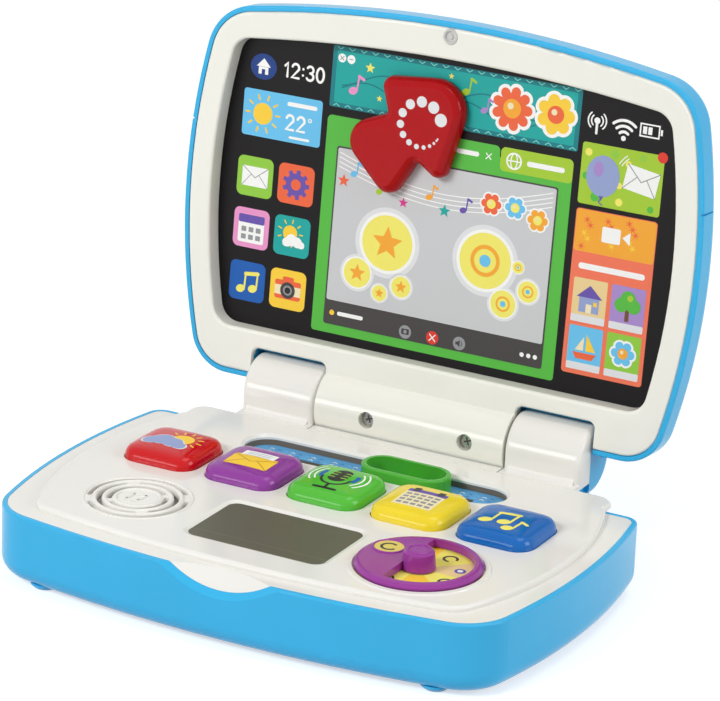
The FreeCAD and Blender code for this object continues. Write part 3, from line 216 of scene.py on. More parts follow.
blue_shell = material("blue_shell", BLUE, rough=0.2, bump=0.03, shine=0.22)
tub_shell = material("tub_shell", BLUE, rough=0.2, bump=0.03, shine=0.22, cap=(KNUCKLE_HOOD, WHITE))
white_shell = material("white_shell", WHITE, rough=0.13, bump=0.015, shade=0.012, shine=0.5)
# the bezel's shell, its white painted lighter as painted light on the lid's front
lit_white_shell = material("lit_white_shell", LIT_WHITE, rough=0.13, bump=0.015, shade=0.012, shine=0.5)
zinc = material("zinc", (176, 176, 172), rough=0.28, metal=1.0, bump=0.06)
dark_plastic = material("dark_plastic", (52, 50, 48), rough=0.5)

PAINTS = {
    "base_tub": tub_shell, "battery_door": blue_shell, "lid_back": blue_shell,
    "deck_cover": white_shell, "lid_bezel": lit_white_shell,
    "case_screws": zinc, "battery_door_screw": zinc, "lid_screws": zinc, "barrel_screws": zinc,
    "hinge_pins": zinc, "battery_contacts": zinc,
    "batteries": material("cell_sleeve", (120, 124, 130), rough=0.4),
    "display_window": material("display_grey", (94, 92, 76), rough=0.34, bump=0.01, shade=0.03),
    "slider_tray": material("tray_brown", (118, 108, 96), rough=0.45),
    "slider_card": material("card_blue", (96, 164, 214), rough=0.5),
    "dial_card": material("card_yellow", (228, 208, 108), rough=0.5),
    "screen_panel": material("screen_black", (16, 13, 15), rough=0.42, bump=0.01, shine=0.15),
    "camera_lens": material("lens_grey", (205, 204, 200), rough=0.3),
    "speaker": material("speaker_grey", (190, 188, 186), rough=0.6),
    "main_board": material("board_green", (40, 110, 60), rough=0.5),
    "button_mat": material("mat_grey", (150, 150, 152), rough=0.7),
    "slider_ring": material("ring_green", (76, 174, 54), rough=0.2, coat=0.1),
    "slider_carriage": dark_plastic, "dial_clip": dark_plastic, "cursor_shaft": dark_plastic,
    "cursor_clip": dark_plastic,
    "dial_wheel": material("dial_purple", (154, 58, 154), rough=0.15, coat=0.1),
    "cursor_knob": material("cursor_red", (178, 8, 16), rough=0.16, coat=0.03, shine=0.15),
}
for word, (name, rgb) in BUTTON_COLOURS.items():
    PAINTS[word + "_button"] = material(name, rgb, rough=0.14, coat=0.1)
for part, made in PAINTS.items():
    paint(part, made)


# flat shapes for prints, as lists of points
TINY = 1e-6
MITRE_LIMIT = 0.3


def turned_about(points, degrees, centre=(0, 0)):
    c, s = math.cos(math.radians(degrees)), math.sin(math.radians(degrees))
    return [(centre[0] + (x - centre[0]) * c - (y - centre[1]) * s,
             centre[1] + (x - centre[0]) * s + (y - centre[1]) * c) for x, y in points]


def disc(x, y, r, count=36, ry=None):
    ry = r if ry is None else ry
    return [(x + r * math.cos(math.tau * i / count), y + ry * math.sin(math.tau * i / count))
            for i in range(count)]


def oval_arc(x, y, rx, ry, start, stop, count=10):
    angles = [math.radians(start + (stop - start) * i / count) for i in range(count + 1)]
    return [(x + rx * math.cos(a), y + ry * math.sin(a)) for a in angles]


def arc(x, y, r, start, stop, count=18):
    return oval_arc(x, y, r, r, start, stop, count)


def panel(x0, y0, x1, y1, r=0.0):
    if r <= 0:
        return [(x0, y0), (x1, y0), (x1, y1), (x0, y1)]
    points = []
    for cx, cy, start in ((x1 - r, y0 + r, -90), (x1 - r, y1 - r, 0), (x0 + r, y1 - r, 90),
                          (x0 + r, y0 + r, 180)):
        points += arc(cx, cy, r, start, start + 90, 6)
    return points


def band(x, y, inner, outer, start, stop, count=24):
    return arc(x, y, outer, start, stop, count) + arc(x, y, inner, stop, start, count)


def star(x, y, outer, inner, points=5, turn=90):
    made = []
    for i in range(points * 2):
        r = outer if i % 2 == 0 else inner
        a = math.radians(turn + 180 * i / points)
        made.append((x + r * math.cos(a), y + r * math.sin(a)))
    return made


def gear(x, y, outer, inner, teeth):
    made = []
    step = 360 / teeth
    for i in range(teeth):
        for share, r in ((-0.30, inner), (-0.20, outer), (0.20, outer), (0.30, inner)):
            a = math.radians(step * (i + share))
            made.append((x + r * math.cos(a), y + r * math.sin(a)))
    return made


def ribbon(points, half):
    """Outline of a line drawn with a round pen: up one side, round the end and back."""
    sides = [[], []]
    last = len(points) - 1
    closed = math.dist(points[0], points[last]) < TINY
    for i, (x, y) in enumerate(points):
        before = points[i - 1] if i > 0 else points[last - 1] if closed else points[0]
        after = points[i + 1] if i < last else points[1] if closed else points[last]
        ways = []
        for a, b in ((before, (x, y)), ((x, y), after)):
            long = math.dist(a, b)
            if long > TINY:
                ways.append(((b[0] - a[0]) / long, (b[1] - a[1]) / long))
        nx, ny = -sum(w[1] for w in ways) / len(ways), sum(w[0] for w in ways) / len(ways)
        size = max(nx * nx + ny * ny, MITRE_LIMIT)
        for side, way in ((0, 1), (1, -1)):
            sides[side].append((x + way * half * nx / size, y + way * half * ny / size))
    if closed:
        return sides[0] + sides[1][::-1]
    caps = []
    for (x, y), (px, py) in ((points[last], sides[0][last]), (points[0], sides[1][0])):
        start = math.degrees(math.atan2(py - y, px - x))
        caps.append(arc(x, y, half, start, start - 180, 6)[1:-1])
    return sides[0] + caps[0] + sides[1][::-1] + caps[1]


def rosette(x, y, size, count, depth=0.16, steps=72):
    """Outline of a flower with round petals."""
    made = []
    for i in range(steps):
        a = math.tau * i / steps
        r = size * (1 - 2 * depth * (1 - abs(math.cos(count * a / 2)) ** 0.6))
        made.append((x + r * math.cos(a), y + r * math.sin(a)))
    return made


def puffs(x, y, discs, floor=None, steps=72):
    """Outline round a group of discs that all reach over the middle point."""
    made = []
    for i in range(steps):
        c, v = math.cos(math.tau * i / steps), math.sin(math.tau * i / steps)
        reach = 0
        for dx, dy, r in discs:
            along = dx * c + dy * v
            across = dx * dx + dy * dy - along * along
            if across < r * r:
                reach = max(reach, along + math.sqrt(r * r - across))
        if floor is not None and v < 0:
            reach = min(reach, floor / v)
        made.append((x + reach * c, y + reach * v))
    return made


class Print:
    """Flat coloured shapes laid on one face, each level a little above the one below."""

    step = 0.03
    nudge, nudges = 0.004, 6
    pen = 0.15
    longest_edge, rounds = 1.6, 4

    def __init__(self, name, place, height, dome=None):
        self.name, self.place, self.height, self.dome = name, place, height, dome
        self.forward, self.grow = 0, 1
        self.shapes = []

    def add(self, tone, points, level=1):
        self.shapes.append((tone, level, points))

    def stroke(self, tone, points, width, level=1):
        self.add(tone, ribbon(points, width / 2), level)

    def digits(self, tone, text, x, y, height, level=1):
        for mark in text:
            for points in DIGITS[mark]:
                self.stroke(tone, [(x + px * height, y + py * height) for px, py in points],
                            height * self.pen, level)
            x += WIDTHS[mark] * height

    def build(self, body):
        made = bmesh.new()
        slots = []
        for i, (tone, level, points) in enumerate(self.shapes):
            lift = self.height + level * self.step + (i % self.nudges) * self.nudge
            face = made.faces.new([made.verts.new((x * self.grow, y * self.grow - self.forward, lift))
                                   for x, y in points])
            if tone not in slots:
                slots.append(tone)
            face.material_index = slots.index(tone)
        if self.dome:
            self.bend(made)
        for vert in made.verts:
            vert.co = self.place(*vert.co)
        mesh = bpy.data.meshes.new(self.name)
        made.to_mesh(mesh)
        made.free()
        for tone in slots:
            mesh.materials.append(ink(tone))
        piece = bpy.data.objects.new(self.name, mesh)
        bpy.context.scene.collection.objects.link(piece)
        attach(piece, body)
        return piece

    def bend(self, made):
        # split the shapes finely and lay them on the domed face
        bmesh.ops.triangulate(made, faces=made.faces[:])
        for _ in range(self.rounds):
            long = [edge for edge in made.edges if edge.calc_length() > self.longest_edge]
            if long:
                bmesh.ops.subdivide_edges(made, edges=long, cuts=1)
                bmesh.ops.triangulate(made, faces=made.faces[:])
        for vert in made.verts:
            vert.co.z += self.dome(vert.co.x, vert.co.y)


# figures as pen lines in a box one unit high, and how far each moves the pen on
DIGITS = {
    "0": [oval_arc(0.3, 0.5, 0.24, 0.43, 0, 360, 20)],
    "1": [[(0.1, 0.72), (0.28, 0.92), (0.28, 0.08)]],
    "2": [oval_arc(0.3, 0.68, 0.23, 0.24, 165, -20) + [(0.07, 0.08), (0.54, 0.08)]],
    "3": [oval_arc(0.28, 0.71, 0.21, 0.21, 150, -85), oval_arc(0.28, 0.29, 0.24, 0.22, 90, -150, 12)],
    ":": [[(0.1, 0.3), (0.1, 0.31)], [(0.1, 0.68), (0.1, 0.69)]],
}
WIDTHS = {"0": 0.72, "1": 0.52, "2": 0.72, "3": 0.68, ":": 0.3}


# signs that are used more than once, drawn to a given size
def note(page, tone, x, y, size, level=2):
    foot = (x + size * 0.22, y + size * 0.05)
    top = (x + size * 0.3, y + size * 0.8)
    tail = (x + size * 0.58, y + size * 0.66)
    page.add(tone, turned_about(disc(x, y, size * 0.26, 20, size * 0.2), 20, (x, y)), level)
    page.stroke(tone, [foot, top], size * 0.1, level)
    page.stroke(tone, [top, tail], size * 0.16, level)


def note_pair(page, tone, x, y, size, level=2):
    for dx in (0, size * 0.62):
        head_x, head_y = x + dx, y + dx * 0.12
        head = disc(head_x, head_y, size * 0.23, 20, size * 0.18)
        stem = [(head_x + size * 0.19, head_y), (head_x + size * 0.23, head_y + size * 0.72)]
        page.add(tone, turned_about(head, 20, (head_x, head_y)), level)
        page.stroke(tone, stem, size * 0.09, level)
    beam = [(x + size * 0.23, y + size * 0.72), (x + size * 0.85, y + size * 0.8)]
    page.stroke(tone, beam, size * 0.18, level)


def envelope(page, x, y, width, height, level=2, turn=0):
    centre = (x, y)
    hw, hh = width / 2, height / 2
    page.add("white", turned_about(panel(x - hw, y - hh, x + hw, y + hh, 0.6), turn, centre), level)
    flap = turned_about([(x - hw, y + hh), (x, y - hh * 0.1), (x + hw, y + hh)], turn, centre)
    page.stroke("steel", flap, width * 0.028, level + 1)
    for side in (-1, 1):
        fold = turned_about([(x + side * hw, y - hh), (x + side * hw * 0.3, y + hh * 0.2)], turn, centre)
        page.stroke("steel", fold, width * 0.024, level + 1)


def cloud(page, tone, x, y, size, level=2):
    discs = ((-0.42, -0.02, 0.26), (-0.12, 0.14, 0.34), (0.24, 0.06, 0.3), (0.5, -0.06, 0.21))
    discs = [tuple(v * size for v in one) for one in discs]
    page.add(tone, puffs(x, y, discs, -0.25 * size), level)


def sun(page, x, y, r, rays, level=2, first=0, last=360):
    page.add("yellow", disc(x, y, r, 32), level)
    for i in range(rays):
        a = math.radians(first + (last - first) * i / rays)
        ray = [(x + r * share * math.cos(a), y + r * share * math.sin(a)) for share in (1.35, 1.75)]
        page.stroke("yellow", ray, r * 0.17, level)


def flower(page, x, y, size, petal, heart, count, level=2):
    page.add("white", rosette(x, y, size * 1.06, count, 0.08), level)
    page.add(petal, rosette(x, y, size * 0.92, count), level + 1)
    page.add(heart, disc(x, y, size * 0.4, 28), level + 2)
    page.add("cream", disc(x - size * 0.08, y + size * 0.1, size * 0.14, 18), level + 3)


def cross(page, x, y, reach, level):
    for way in (-1, 1):
        page.stroke("white", [(x - reach, y - reach * way), (x + reach, y + reach * way)], 0.5, level)


def tile(page, tone, x, y, size=19.2):
    h = size / 2
    page.add(tone, panel(x - h, y - h, x + h, y + h, 3))


# the printed screen
def screen_print():
    page = Print("screen_picture", on_lid, SCREEN_FACE)
    widget(page)
    icons(page)
    banner(page)
    window(page)
    signals(page)
    letter_tile(page)
    call_tile(page)
    page.build("lid")


def widget(page):
    x, y = -100.2, 152.6
    page.add("navy", disc(x, y, 7, 44, 6.2))
    page.add("white", [(x - 3.8, y), (x, y + 4), (x + 3.8, y)], 2)
    page.add("white", panel(x - 2.6, y - 3.6, x + 2.6, y - 0.1), 2)
    page.add("navy", panel(x - 0.9, y - 3.6, x + 0.9, y - 1.2), 3)
    page.digits("white", "12:30", x + 10.7, y - 3.2, 7.8)
    left, right, low, high = -109.5, -67.3, 119, 141.4
    page.add("sky", panel(left, low, right, high, 1.5))
    sun(page, left + 10.7, low + 11.2, 5.2, 10)
    page.add("white", panel(left + 23.5, high - 5.2, right - 2.7, high - 3.2, 0.9), 2)
    page.digits("white", "22", left + 23, low + 5.4, 8.2, 2)
    page.stroke("white", arc(right - 6.1, high - 10.4, 0.8, 0, 360, 12), 0.5, 2)
    page.add("white", panel(left + 25.5, low + 1.8, right - 5.7, low + 3, 0.5), 2)


def icons(page):
    left, right = -100.4, -78.2
    rows = (99.4, 74.3, 48.3)
    tile(page, "grass", left, rows[0])
    envelope(page, left, rows[0], 14, 9.6)
    tile(page, "orange", right, rows[0])
    page.add("violet", gear(right, rows[0], 7.2, 5.4, 9), 2)
    page.add("orange", disc(right, rows[0], 2.7, 24), 3)
    tile(page, "pink", left, rows[1])
    date_sign(page, left, rows[1])
    tile(page, "teal", right, rows[1])
    sun(page, right - 1, rows[1] + 1.4, 3.8, 9)
    cloud(page, "white", right + 1, rows[1] - 3, 8.6, 3)
    tile(page, "blue", left, rows[2])
    note_pair(page, "lemon", left - 3.4, rows[2] - 4, 10.5)
    tile(page, "yellow", right, rows[2])
    camera_sign(page, right, rows[2])


def date_sign(page, x, y):
    page.add("white", panel(x - 7, y - 7.2, x + 7, y + 6.4, 1), 2)
    page.add("violet", panel(x - 7, y + 2.4, x + 7, y + 6.4, 0.8), 3)
    for i in range(3):
        for j in range(2):
            left, low = x - 5.2 + 3.9 * i, y - 5.6 + 3.7 * j
            page.add("steel", panel(left, low, left + 2.6, low + 2.4, 0.3), 3)


def camera_sign(page, x, y):
    page.add("orange", panel(x - 7, y - 4.8, x + 7, y + 4.4, 1.2), 2)
    page.add("orange", panel(x - 3, y + 3.6, x + 3, y + 6.2, 0.8), 2)
    page.add("cream", panel(x - 7, y - 2.8, x + 7, y + 1.8), 3)
    for tone, r, count, level in (("slate", 4, 28, 4), ("steel", 2.4, 24, 5), ("black", 1.6, 20, 6)):
        page.add(tone, disc(x, y - 0.4, r, count), level)


def banner(page):
    left, right, low, high = -63.9, 64.3, 140, 169
    rim = 2.2
    page.add("deep_teal", panel(left, low, right, high, 1))
    page.add("teal", panel(left + rim, low + rim, right - rim, high - rim, 0.8), 2)
    for i in range(21):
        x = left + rim + i * 6.1
        for y, rise in ((low + rim / 2, 0.5), (high - rim / 2, -0.5)):
            page.stroke("mint", [(x, y - rise), (x + 1.5, y + rise), (x + 3, y - rise)], 0.45, 2)
    for shift in (0, 5):
        wave = [(left + 6 + 2.6 * i, low + 9.5 + shift + 4 * math.sin(0.32 * i + shift)) for i in range(45)]
        page.stroke("deep_teal", wave, 0.7, 3)
    for tone, x, y, size in (("pink", -52, 149, 9), ("lime", 6, 158, 8), ("lilac", 16, 151, 7)):
        note(page, tone, x, y, size, 4)
    for x, y, r in ((-44, 161, 2.6), (-38, 147.5, 1.6), (-31, 158.5, 1.6), (-2, 164, 1.5)):
        page.add("lemon", star(x, y, r, r * 0.45), 4)
    close_x, shrink_x, y, reach = -59, -54.2, 163.4, 0.9
    for x, rise in ((close_x, reach), (shrink_x, 0)):
        page.add("white", disc(x, y, 2.1, 24), 4)
        page.stroke("steel", [(x - reach, y - rise), (x + reach, y + rise)], 0.4, 5)
    page.stroke("steel", [(close_x - reach, y + reach), (close_x + reach, y - reach)], 0.4, 5)
    flower(page, 30, 154.2, 11.2, "orange", "amber", 9, 4)
    flower(page, 52, 155, 10.4, "yellow", "orange", 7, 4)


def window(page):
    left, right, low, high = -64.1, 63.1, 31.9, 131
    tab_low, tab_high, tab_end = 124, 136, 26
    page.add("green", panel(left, low, right, high, 1.6))
    page.add("green", panel(left, tab_low, tab_end, tab_high, 2.4))
    page.add("lime", panel(tab_end + 0.5, tab_low + 0.6, right, tab_high, 2.4), 2)
    page.add("green", panel(left, tab_low - 12, right, tab_low + 0.8), 3)
    globe(page, 33.4, 130.2, 3.6)
    page.add("white", panel(40, 129, 59, 131.4, 1), 3)
    page.add("white", panel(4, 129.2, 15.5, 131.4, 1), 2)
    cross(page, 20.4, 130.3, 1.3, 2)
    view_left, view_low, view_right, view_high = left + 6.2, 36.2, right - 6.2, 122
    page.add("slate", panel(view_left, view_low, view_right, view_high, 1.4), 4)
    page.add("silver", panel(view_left + 0.8, view_low + 11.8, view_right - 0.8, view_high - 0.8, 1), 5)
    staves(page, view_left + 2)
    bubbles(page)
    chat_bar(page)


def globe(page, x, y, r):
    page.stroke("white", arc(x, y, r, 0, 360, 24), 0.8, 3)
    page.stroke("white", oval_arc(x, y, 1.6, r, 0, 360, 20), 0.6, 3)
    page.stroke("white", [(x - r, y), (x + r, y)], 0.6, 3)


def staves(page, left):
    top, gap, sag, curl = 115.6, 2.2, 7, 0.006
    steps = 48
    for i in range(4):
        curve = [(left + 2.3 * k, top - gap * i - sag * math.sin(math.pi * k / steps)
                  + curl * (k - steps / 2) ** 2) for k in range(steps + 1)]
        page.stroke("white", curve, 0.5, 6)
    for x, y, tone in ((-48, 110, "sky"), (-34, 104, "lime"), (-8, 106, "amber"), (10, 103, "violet")):
        note(page, tone, x, y, 7, 7)
    for x, y, outer, inner, tone in ((-53, 106, 3.2, 1.4, "orange"), (0.5, 101, 3.2, 1.4, "teal"),
                                     (-21, 101, 2.6, 1.1, "magenta")):
        page.add(tone, star(x, y, outer, inner), 7)
    for x, y, tone in ((24, 108.5, "orange"), (36.2, 108.8, "sky"), (48, 105, "amber")):
        flower(page, x, y, 5.6, tone, "lemon", 6, 7)


def bubbles(page):
    spots = ((-27.5, 80.5, 13.2), (-42, 63.5, 7), (-18.5, 61, 5), (-29.5, 56, 3.8),
             (23.5, 81.5, 13.2), (34.5, 63, 6.4), (46.5, 71, 5), (40.5, 81.5, 2.8))
    for x, y, r in spots:
        for grow, tone, level in ((1.28, "pale", 6), (1.12, "white", 7), (1, "lemon", 8)):
            page.add(tone, disc(x, y, r * grow, 40), level)
    for x, y, r in spots:
        if x < 0:
            page.add("amber", star(x, y, r * 0.62, r * 0.28), 9)
        else:
            page.stroke("amber", arc(x, y, r * 0.5, 0, 360, 24), r * 0.14, 9)
            page.add("sky", disc(x, y, r * 0.22, 20), 9)


def chat_bar(page):
    page.add("yellow", disc(-53.6, 42, 1.3, 16), 5)
    page.add("white", panel(-50.8, 41.1, -37, 43, 0.9), 5)
    picture_x, end_x, sound_x, y = -14.3, 0, 14.1, 40.1
    for x, tone in ((picture_x, "steel"), (end_x, "red"), (sound_x, "steel")):
        page.add(tone, disc(x, y, 3.2, 28), 5)
    page.add("slate", panel(picture_x - 2, y - 1.2, picture_x + 2, y + 1.5, 0.5), 6)
    page.add("steel", disc(picture_x, y + 0.1, 0.9, 16), 7)
    cross(page, end_x, y, 1.5, 6)
    horn = ((-1.9, -0.7), (-0.9, -0.7), (0.3, -1.8), (0.3, 1.8), (-0.9, 0.7), (-1.9, 0.7))
    page.add("slate", [(sound_x + dx, y + dy) for dx, dy in horn], 6)
    page.stroke("slate", arc(sound_x - 0.1, y, 1.5, -45, 45, 6), 0.35, 6)
    for i in range(3):
        page.add("white", disc(46.4 + 3.4 * i, y + 1.1, 1.1, 16), 5)


def signals(page):
    x, y = 72.6, 155.8
    page.stroke("white", [(x, y - 5.8), (x, y - 0.2)], 1.2)
    page.add("white", disc(x, y, 1.5, 20))
    for r in (2.9, 4.5):
        for start in (-48, 132):
            page.stroke("white", arc(x, y, r, start, start + 96, 8), 0.7)
    x, y = 86.1, 149.9
    for r in (3, 5.6, 8.2):
        page.stroke("white", arc(x, y, r, 48, 132, 10), 1.3)
    page.add("white", disc(x, y, 1.2, 18))
    left, right, low, high = 94, 103.2, 152.6, 158.2
    page.stroke("white", panel(left, low, right, high) + [(left, low)], 0.7)
    page.add("white", panel(right + 0.7, low + 1.5, right + 1.7, high - 1.4))
    for start in (left + 1.2, left + 3.8):
        page.add("white", panel(start, low + 1.1, start + 2, high - 1.1))


def letter_tile(page):
    left, right, low, high = 66.7, 107.2, 117, 145.4
    page.add("lime", panel(left, low, right, high, 1.4))
    dots = ((70, 141, 1.8), (75, 121, 2.2), (83, 142, 2), (90, 138.6, 1.5), (69.6, 130, 1.7),
            (97, 142.5, 1.6), (87, 120.5, 1.8), (102.6, 119.8, 1.6), (78.5, 132.5, 1.3), (86.4, 128, 1.5))
    for i, (x, y, r) in enumerate(dots):
        page.add(("lemon", "green", "grass")[i % 3], disc(x, y, r, 20), 2)
    balloon(page, 78, 131)
    x, y = 97, 132
    envelope(page, x, y, 16.4, 11.6, 4, -9)
    for r in (11.5, 13):
        page.stroke("white", arc(x, y, r, 128, 152, 6), 0.5, 3)
    page.add("red", disc(right - 1, high - 1, 2.5, 24), 4)


def balloon(page, x, y):
    page.add("bluegrey", disc(x, y, 8.2, 36, 9.6), 3)
    page.add("lilac", disc(x - 2.4, y + 3, 2.4, 20, 3.6), 4)
    page.add("violet", [(x - 1.2, y - 9.2), (x + 1.2, y - 9.2), (x, y - 11.4)], 4)
    page.stroke("violet", [(x, y - 10), (x - 1, y - 12), (x + 0.8, y - 13.2)], 0.5, 5)


def call_tile(page):
    left, right, low, high = 66.7, 107.1, 37.6, 114.8
    call_low = 95
    page.add("coral", panel(left, low, right, high, 1.6))
    page.add("amber", panel(left + 0.4, call_low, right - 0.4, high - 0.4, 1.4), 2)
    for i in range(15):
        x, y = left + 4 + (i * 11.3) % 33, call_low + 2.4 + (i * 7.1) % 15
        page.add(("orange", "yellow")[i % 2], star(x, y, 2.2, 0.6, 6, 17 * i), 3)
    x, y = 85, 104.6
    page.add("white", panel(x - 4.6, y - 3.6, x + 4.6, y + 3.6, 0.8), 4)
    page.add("white", [(x + 5.6, y), (x + 9.4, y - 3), (x + 9.4, y + 3)], 4)
    page.add("white", panel(left + 3.7, 87, right - 3.7, 89.8, 1.2), 2)
    columns, rows = (68.9, 88), (62.2, 39.8)
    wide, tall = 17, 20.6
    for i, tone in enumerate(("tan", "lilac", "sky", "grass")):
        x, y = columns[i % 2], rows[i // 2]
        page.add(tone, panel(x, y, x + wide, y + tall, 0.8), 2)
        page.add("pale", panel(x, y, x + wide, y + 3.4, 0.6), 3)
    first, second = (x + wide / 2 for x in columns)
    house(page, first, rows[0] + 10.8)
    tree(page, second, rows[0] + 10.8)
    boat(page, first, rows[1] + 10.8)
    flower(page, second, rows[1] + 11.6, 6.4, "sky", "amber", 6, 4)


def house(page, x, y):
    page.add("bluegrey", panel(x - 5, y - 6, x + 5, y + 1), 4)
    page.add("violet", [(x - 6.4, y + 1), (x + 6.4, y + 1), (x, y + 6.8)], 5)
    page.add("cream", panel(x - 1.4, y - 6, x + 1.4, y - 2), 5)
    page.add("yellow", panel(x + 2.2, y - 2.6, x + 4, y - 0.6), 5)


def tree(page, x, y):
    page.add("bark", panel(x - 1, y - 6.4, x + 1, y), 4)
    page.add("green", puffs(x, y + 2, ((-3, -1, 3.4), (3, -1, 3.4), (0, 2, 3.8))), 5)
    page.add("lime", disc(x + 1, y + 4.6, 1.5, 18), 6)


def boat(page, x, y):
    page.add("orange", [(x - 6, y - 2.6), (x + 6, y - 2.6), (x + 4, y - 5.6), (x - 4, y - 5.6)], 4)
    page.add("yellow", [(x + 0.6, y - 1.6), (x + 0.6, y + 6.4), (x + 5.6, y - 1.6)], 4)
    page.add("cream", [(x - 0.6, y - 1.6), (x - 0.6, y + 5), (x - 4.8, y - 1.6)], 4)


# raised pieces
RING_STEPS = 72


def lathe_ring(name, x, y, z, profile, made, body):
    """Closed ring round a vertical line; profile is (radius, height) round its section."""
    mesh = bmesh.new()
    loops = []
    for i in range(RING_STEPS):
        c, v = math.cos(math.tau * i / RING_STEPS), math.sin(math.tau * i / RING_STEPS)
        loops.append([mesh.verts.new(on_deck(x + r * c, y + r * v, z + h)) for r, h in profile])
    for near, far in zip(loops, loops[1:] + loops[:1]):
        for k in range(len(profile)):
            mesh.faces.new((near[k - 1], near[k], far[k], far[k - 1]))
    return finish_piece(name, mesh, made, body)


def raised_shapes(name, shapes, place, low, thick, made, body):
    """Flat shapes given a thickness, such as a moulded sign."""
    mesh = bmesh.new()
    for points in shapes:
        foot = [mesh.verts.new(place(x, y, low)) for x, y in points]
        head = [mesh.verts.new(place(x, y, low + thick)) for x, y in points]
        mesh.faces.new(head)
        mesh.faces.new(foot[::-1])
        for k in range(len(points)):
            mesh.faces.new((foot[k - 1], foot[k], head[k], head[k - 1]))
    return finish_piece(name, mesh, made, body)


def loft(name, loops, place, made, body, stands_for=None):
    """Closed skin over loops of (x, y, z) points from the foot to the top."""
    mesh = bmesh.new()
    rows = [[mesh.verts.new(place(*point)) for point in loop] for loop in loops]
    for low, high in zip(rows, rows[1:]):
        for k in range(len(low)):
            mesh.faces.new((low[k - 1], low[k], high[k], high[k - 1]))
    mesh.faces.new(rows[0])
    mesh.faces.new(rows[-1])
    piece = finish_piece(name, mesh, made, body)
    if stands_for:
        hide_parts(stands_for)


def finish_piece(name, mesh, made, body):
    bmesh.ops.recalc_face_normals(mesh, faces=mesh.faces[:])
    data = bpy.data.meshes.new(name)
    mesh.to_mesh(data)
    mesh.free()
    for face in data.polygons:
        face.use_smooth = len(face.vertices) == 4
    data.materials.append(made)
    piece = bpy.data.objects.new(name, data)
    bpy.context.scene.collection.objects.link(piece)
    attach(piece, body)
    return piece


def rounded_loop(corners, inset, arcs=8, straight=1):
    """Outline through (x, y, radius) corners, given clockwise, moved inwards by inset."""
    least_radius = 0.4
    bends = []
    count = len(corners)
    for i, (x, y, radius) in enumerate(corners):
        here = Vector((x, y))
        into = (here - Vector(corners[i - 1][:2])).normalized()
        away = (Vector(corners[(i + 1) % count][:2]) - here).normalized()
        inner = [Vector((way.y, -way.x)) for way in (into, away)]
        here = here + inset * (inner[0] + inner[1]) / (1 + inner[0].dot(inner[1]))
        convex = into.x * away.y - into.y * away.x < 0
        radius = max(radius - inset, least_radius) if convex else radius + inset
        half = math.acos(max(-1, min(1, -into.dot(away)))) / 2
        heart = here + (away - into).normalized() * radius / math.sin(half)
        ends = [here - into * radius / math.tan(half), here + away * radius / math.tan(half)]
        first, last = (math.atan2(end.y - heart.y, end.x - heart.x) for end in ends)
        turn = (last - first + math.pi) % math.tau - math.pi
        bends.append([(heart.x + radius * math.cos(first + turn * k / arcs),
                       heart.y + radius * math.sin(first + turn * k / arcs)) for k in range(arcs + 1)])
    points = []
    for i, bend in enumerate(bends):
        points += bend
        (ax, ay), (bx, by) = bend[-1], bends[(i + 1) % count][0]
        points += [(ax + (bx - ax) * k / straight, ay + (by - ay) * k / straight)
                   for k in range(1, straight)]
    return points


# ridges and sign of the speaker grille, which mirrors the dial, and the rim of the dial's hub
DIAL = deck_joint("dial_turn")
DIAL_FACE = PLATEAU + 3.2
DIAL_HUB_TOP = PLATEAU + 8
GRILLE = (-DIAL[0], DIAL[1])
# radius, width and height of each ridge
GRILLE_RIDGES = ((24.5, 1.5, 0.5), (19.7, 2.2, 0.8), (15, 2.2, 0.8), (10.2, 2, 0.7))
RIDGE_FOOT = -0.3


def ridge(radius, width, height):
    half = width / 2
    top = oval_arc(radius, 0, half, height, 0, 180, 9)
    return top + [(radius - half, RIDGE_FOOT), (radius + half, RIDGE_FOOT)]


def relief():
    for i, section in enumerate(GRILLE_RIDGES):
        lathe_ring("grille_ridge_%d" % i, *GRILLE, PLATEAU, ridge(*section), white_shell, "base")
    lathe_ring("dial_hub_rim", *DIAL, DIAL_HUB_TOP, ridge(5.1, 1.4, 0.6), PAINTS["dial_wheel"], "dial")
    page = Print("grille_sign", on_deck, PLATEAU)
    note_pair(page, "white", GRILLE[0] - 5.4, GRILLE[1] - 3.6, 9)
    raised_shapes("grille_sign", [points for _, _, points in page.shapes], on_deck, PLATEAU - 0.1, 0.6,
                  white_shell, "base")


# pillow buttons in place of the plainer solids
BUTTON_PLACES = {word: deck_middle(word + "_button") for word in BUTTON_COLOURS}
BUTTON_HALF = 18.75
BUTTON_CORNER = 9
# inset and height of the flange under the deck, then of the rolled edge
BUTTON_FLANGE = ((-1.7, -4.4), (-1.7, -2.7), (0, -2.7))
BUTTON_EDGE = ((0, 0.6), (0.2, 2.1), (0.8, 3.6), (1.8, 4.7), (3, 5.25), (4.4, 5.5), (6, 5.65), (8, 5.7))
BUTTON_CROWN = (10, 12, 14, 16, 17.6)
BUTTON_BULGE = 1.3


def button_height(x, y):
    across, along = abs(x) - BUTTON_HALF + BUTTON_CORNER, abs(y) - BUTTON_HALF + BUTTON_CORNER
    inset = BUTTON_CORNER - math.hypot(max(across, 0), max(along, 0)) - min(max(across, along), 0)
    height = BUTTON_EDGE[-1][1]
    for (d0, h0), (d1, h1) in zip(BUTTON_EDGE, BUTTON_EDGE[1:]):
        if inset < d1:
            height = h0 + (h1 - h0) * max(inset - d0, 0) / (d1 - d0)
            break
    return height + BUTTON_BULGE * (1 - (x / BUTTON_HALF) ** 2) * (1 - (y / BUTTON_HALF) ** 2)


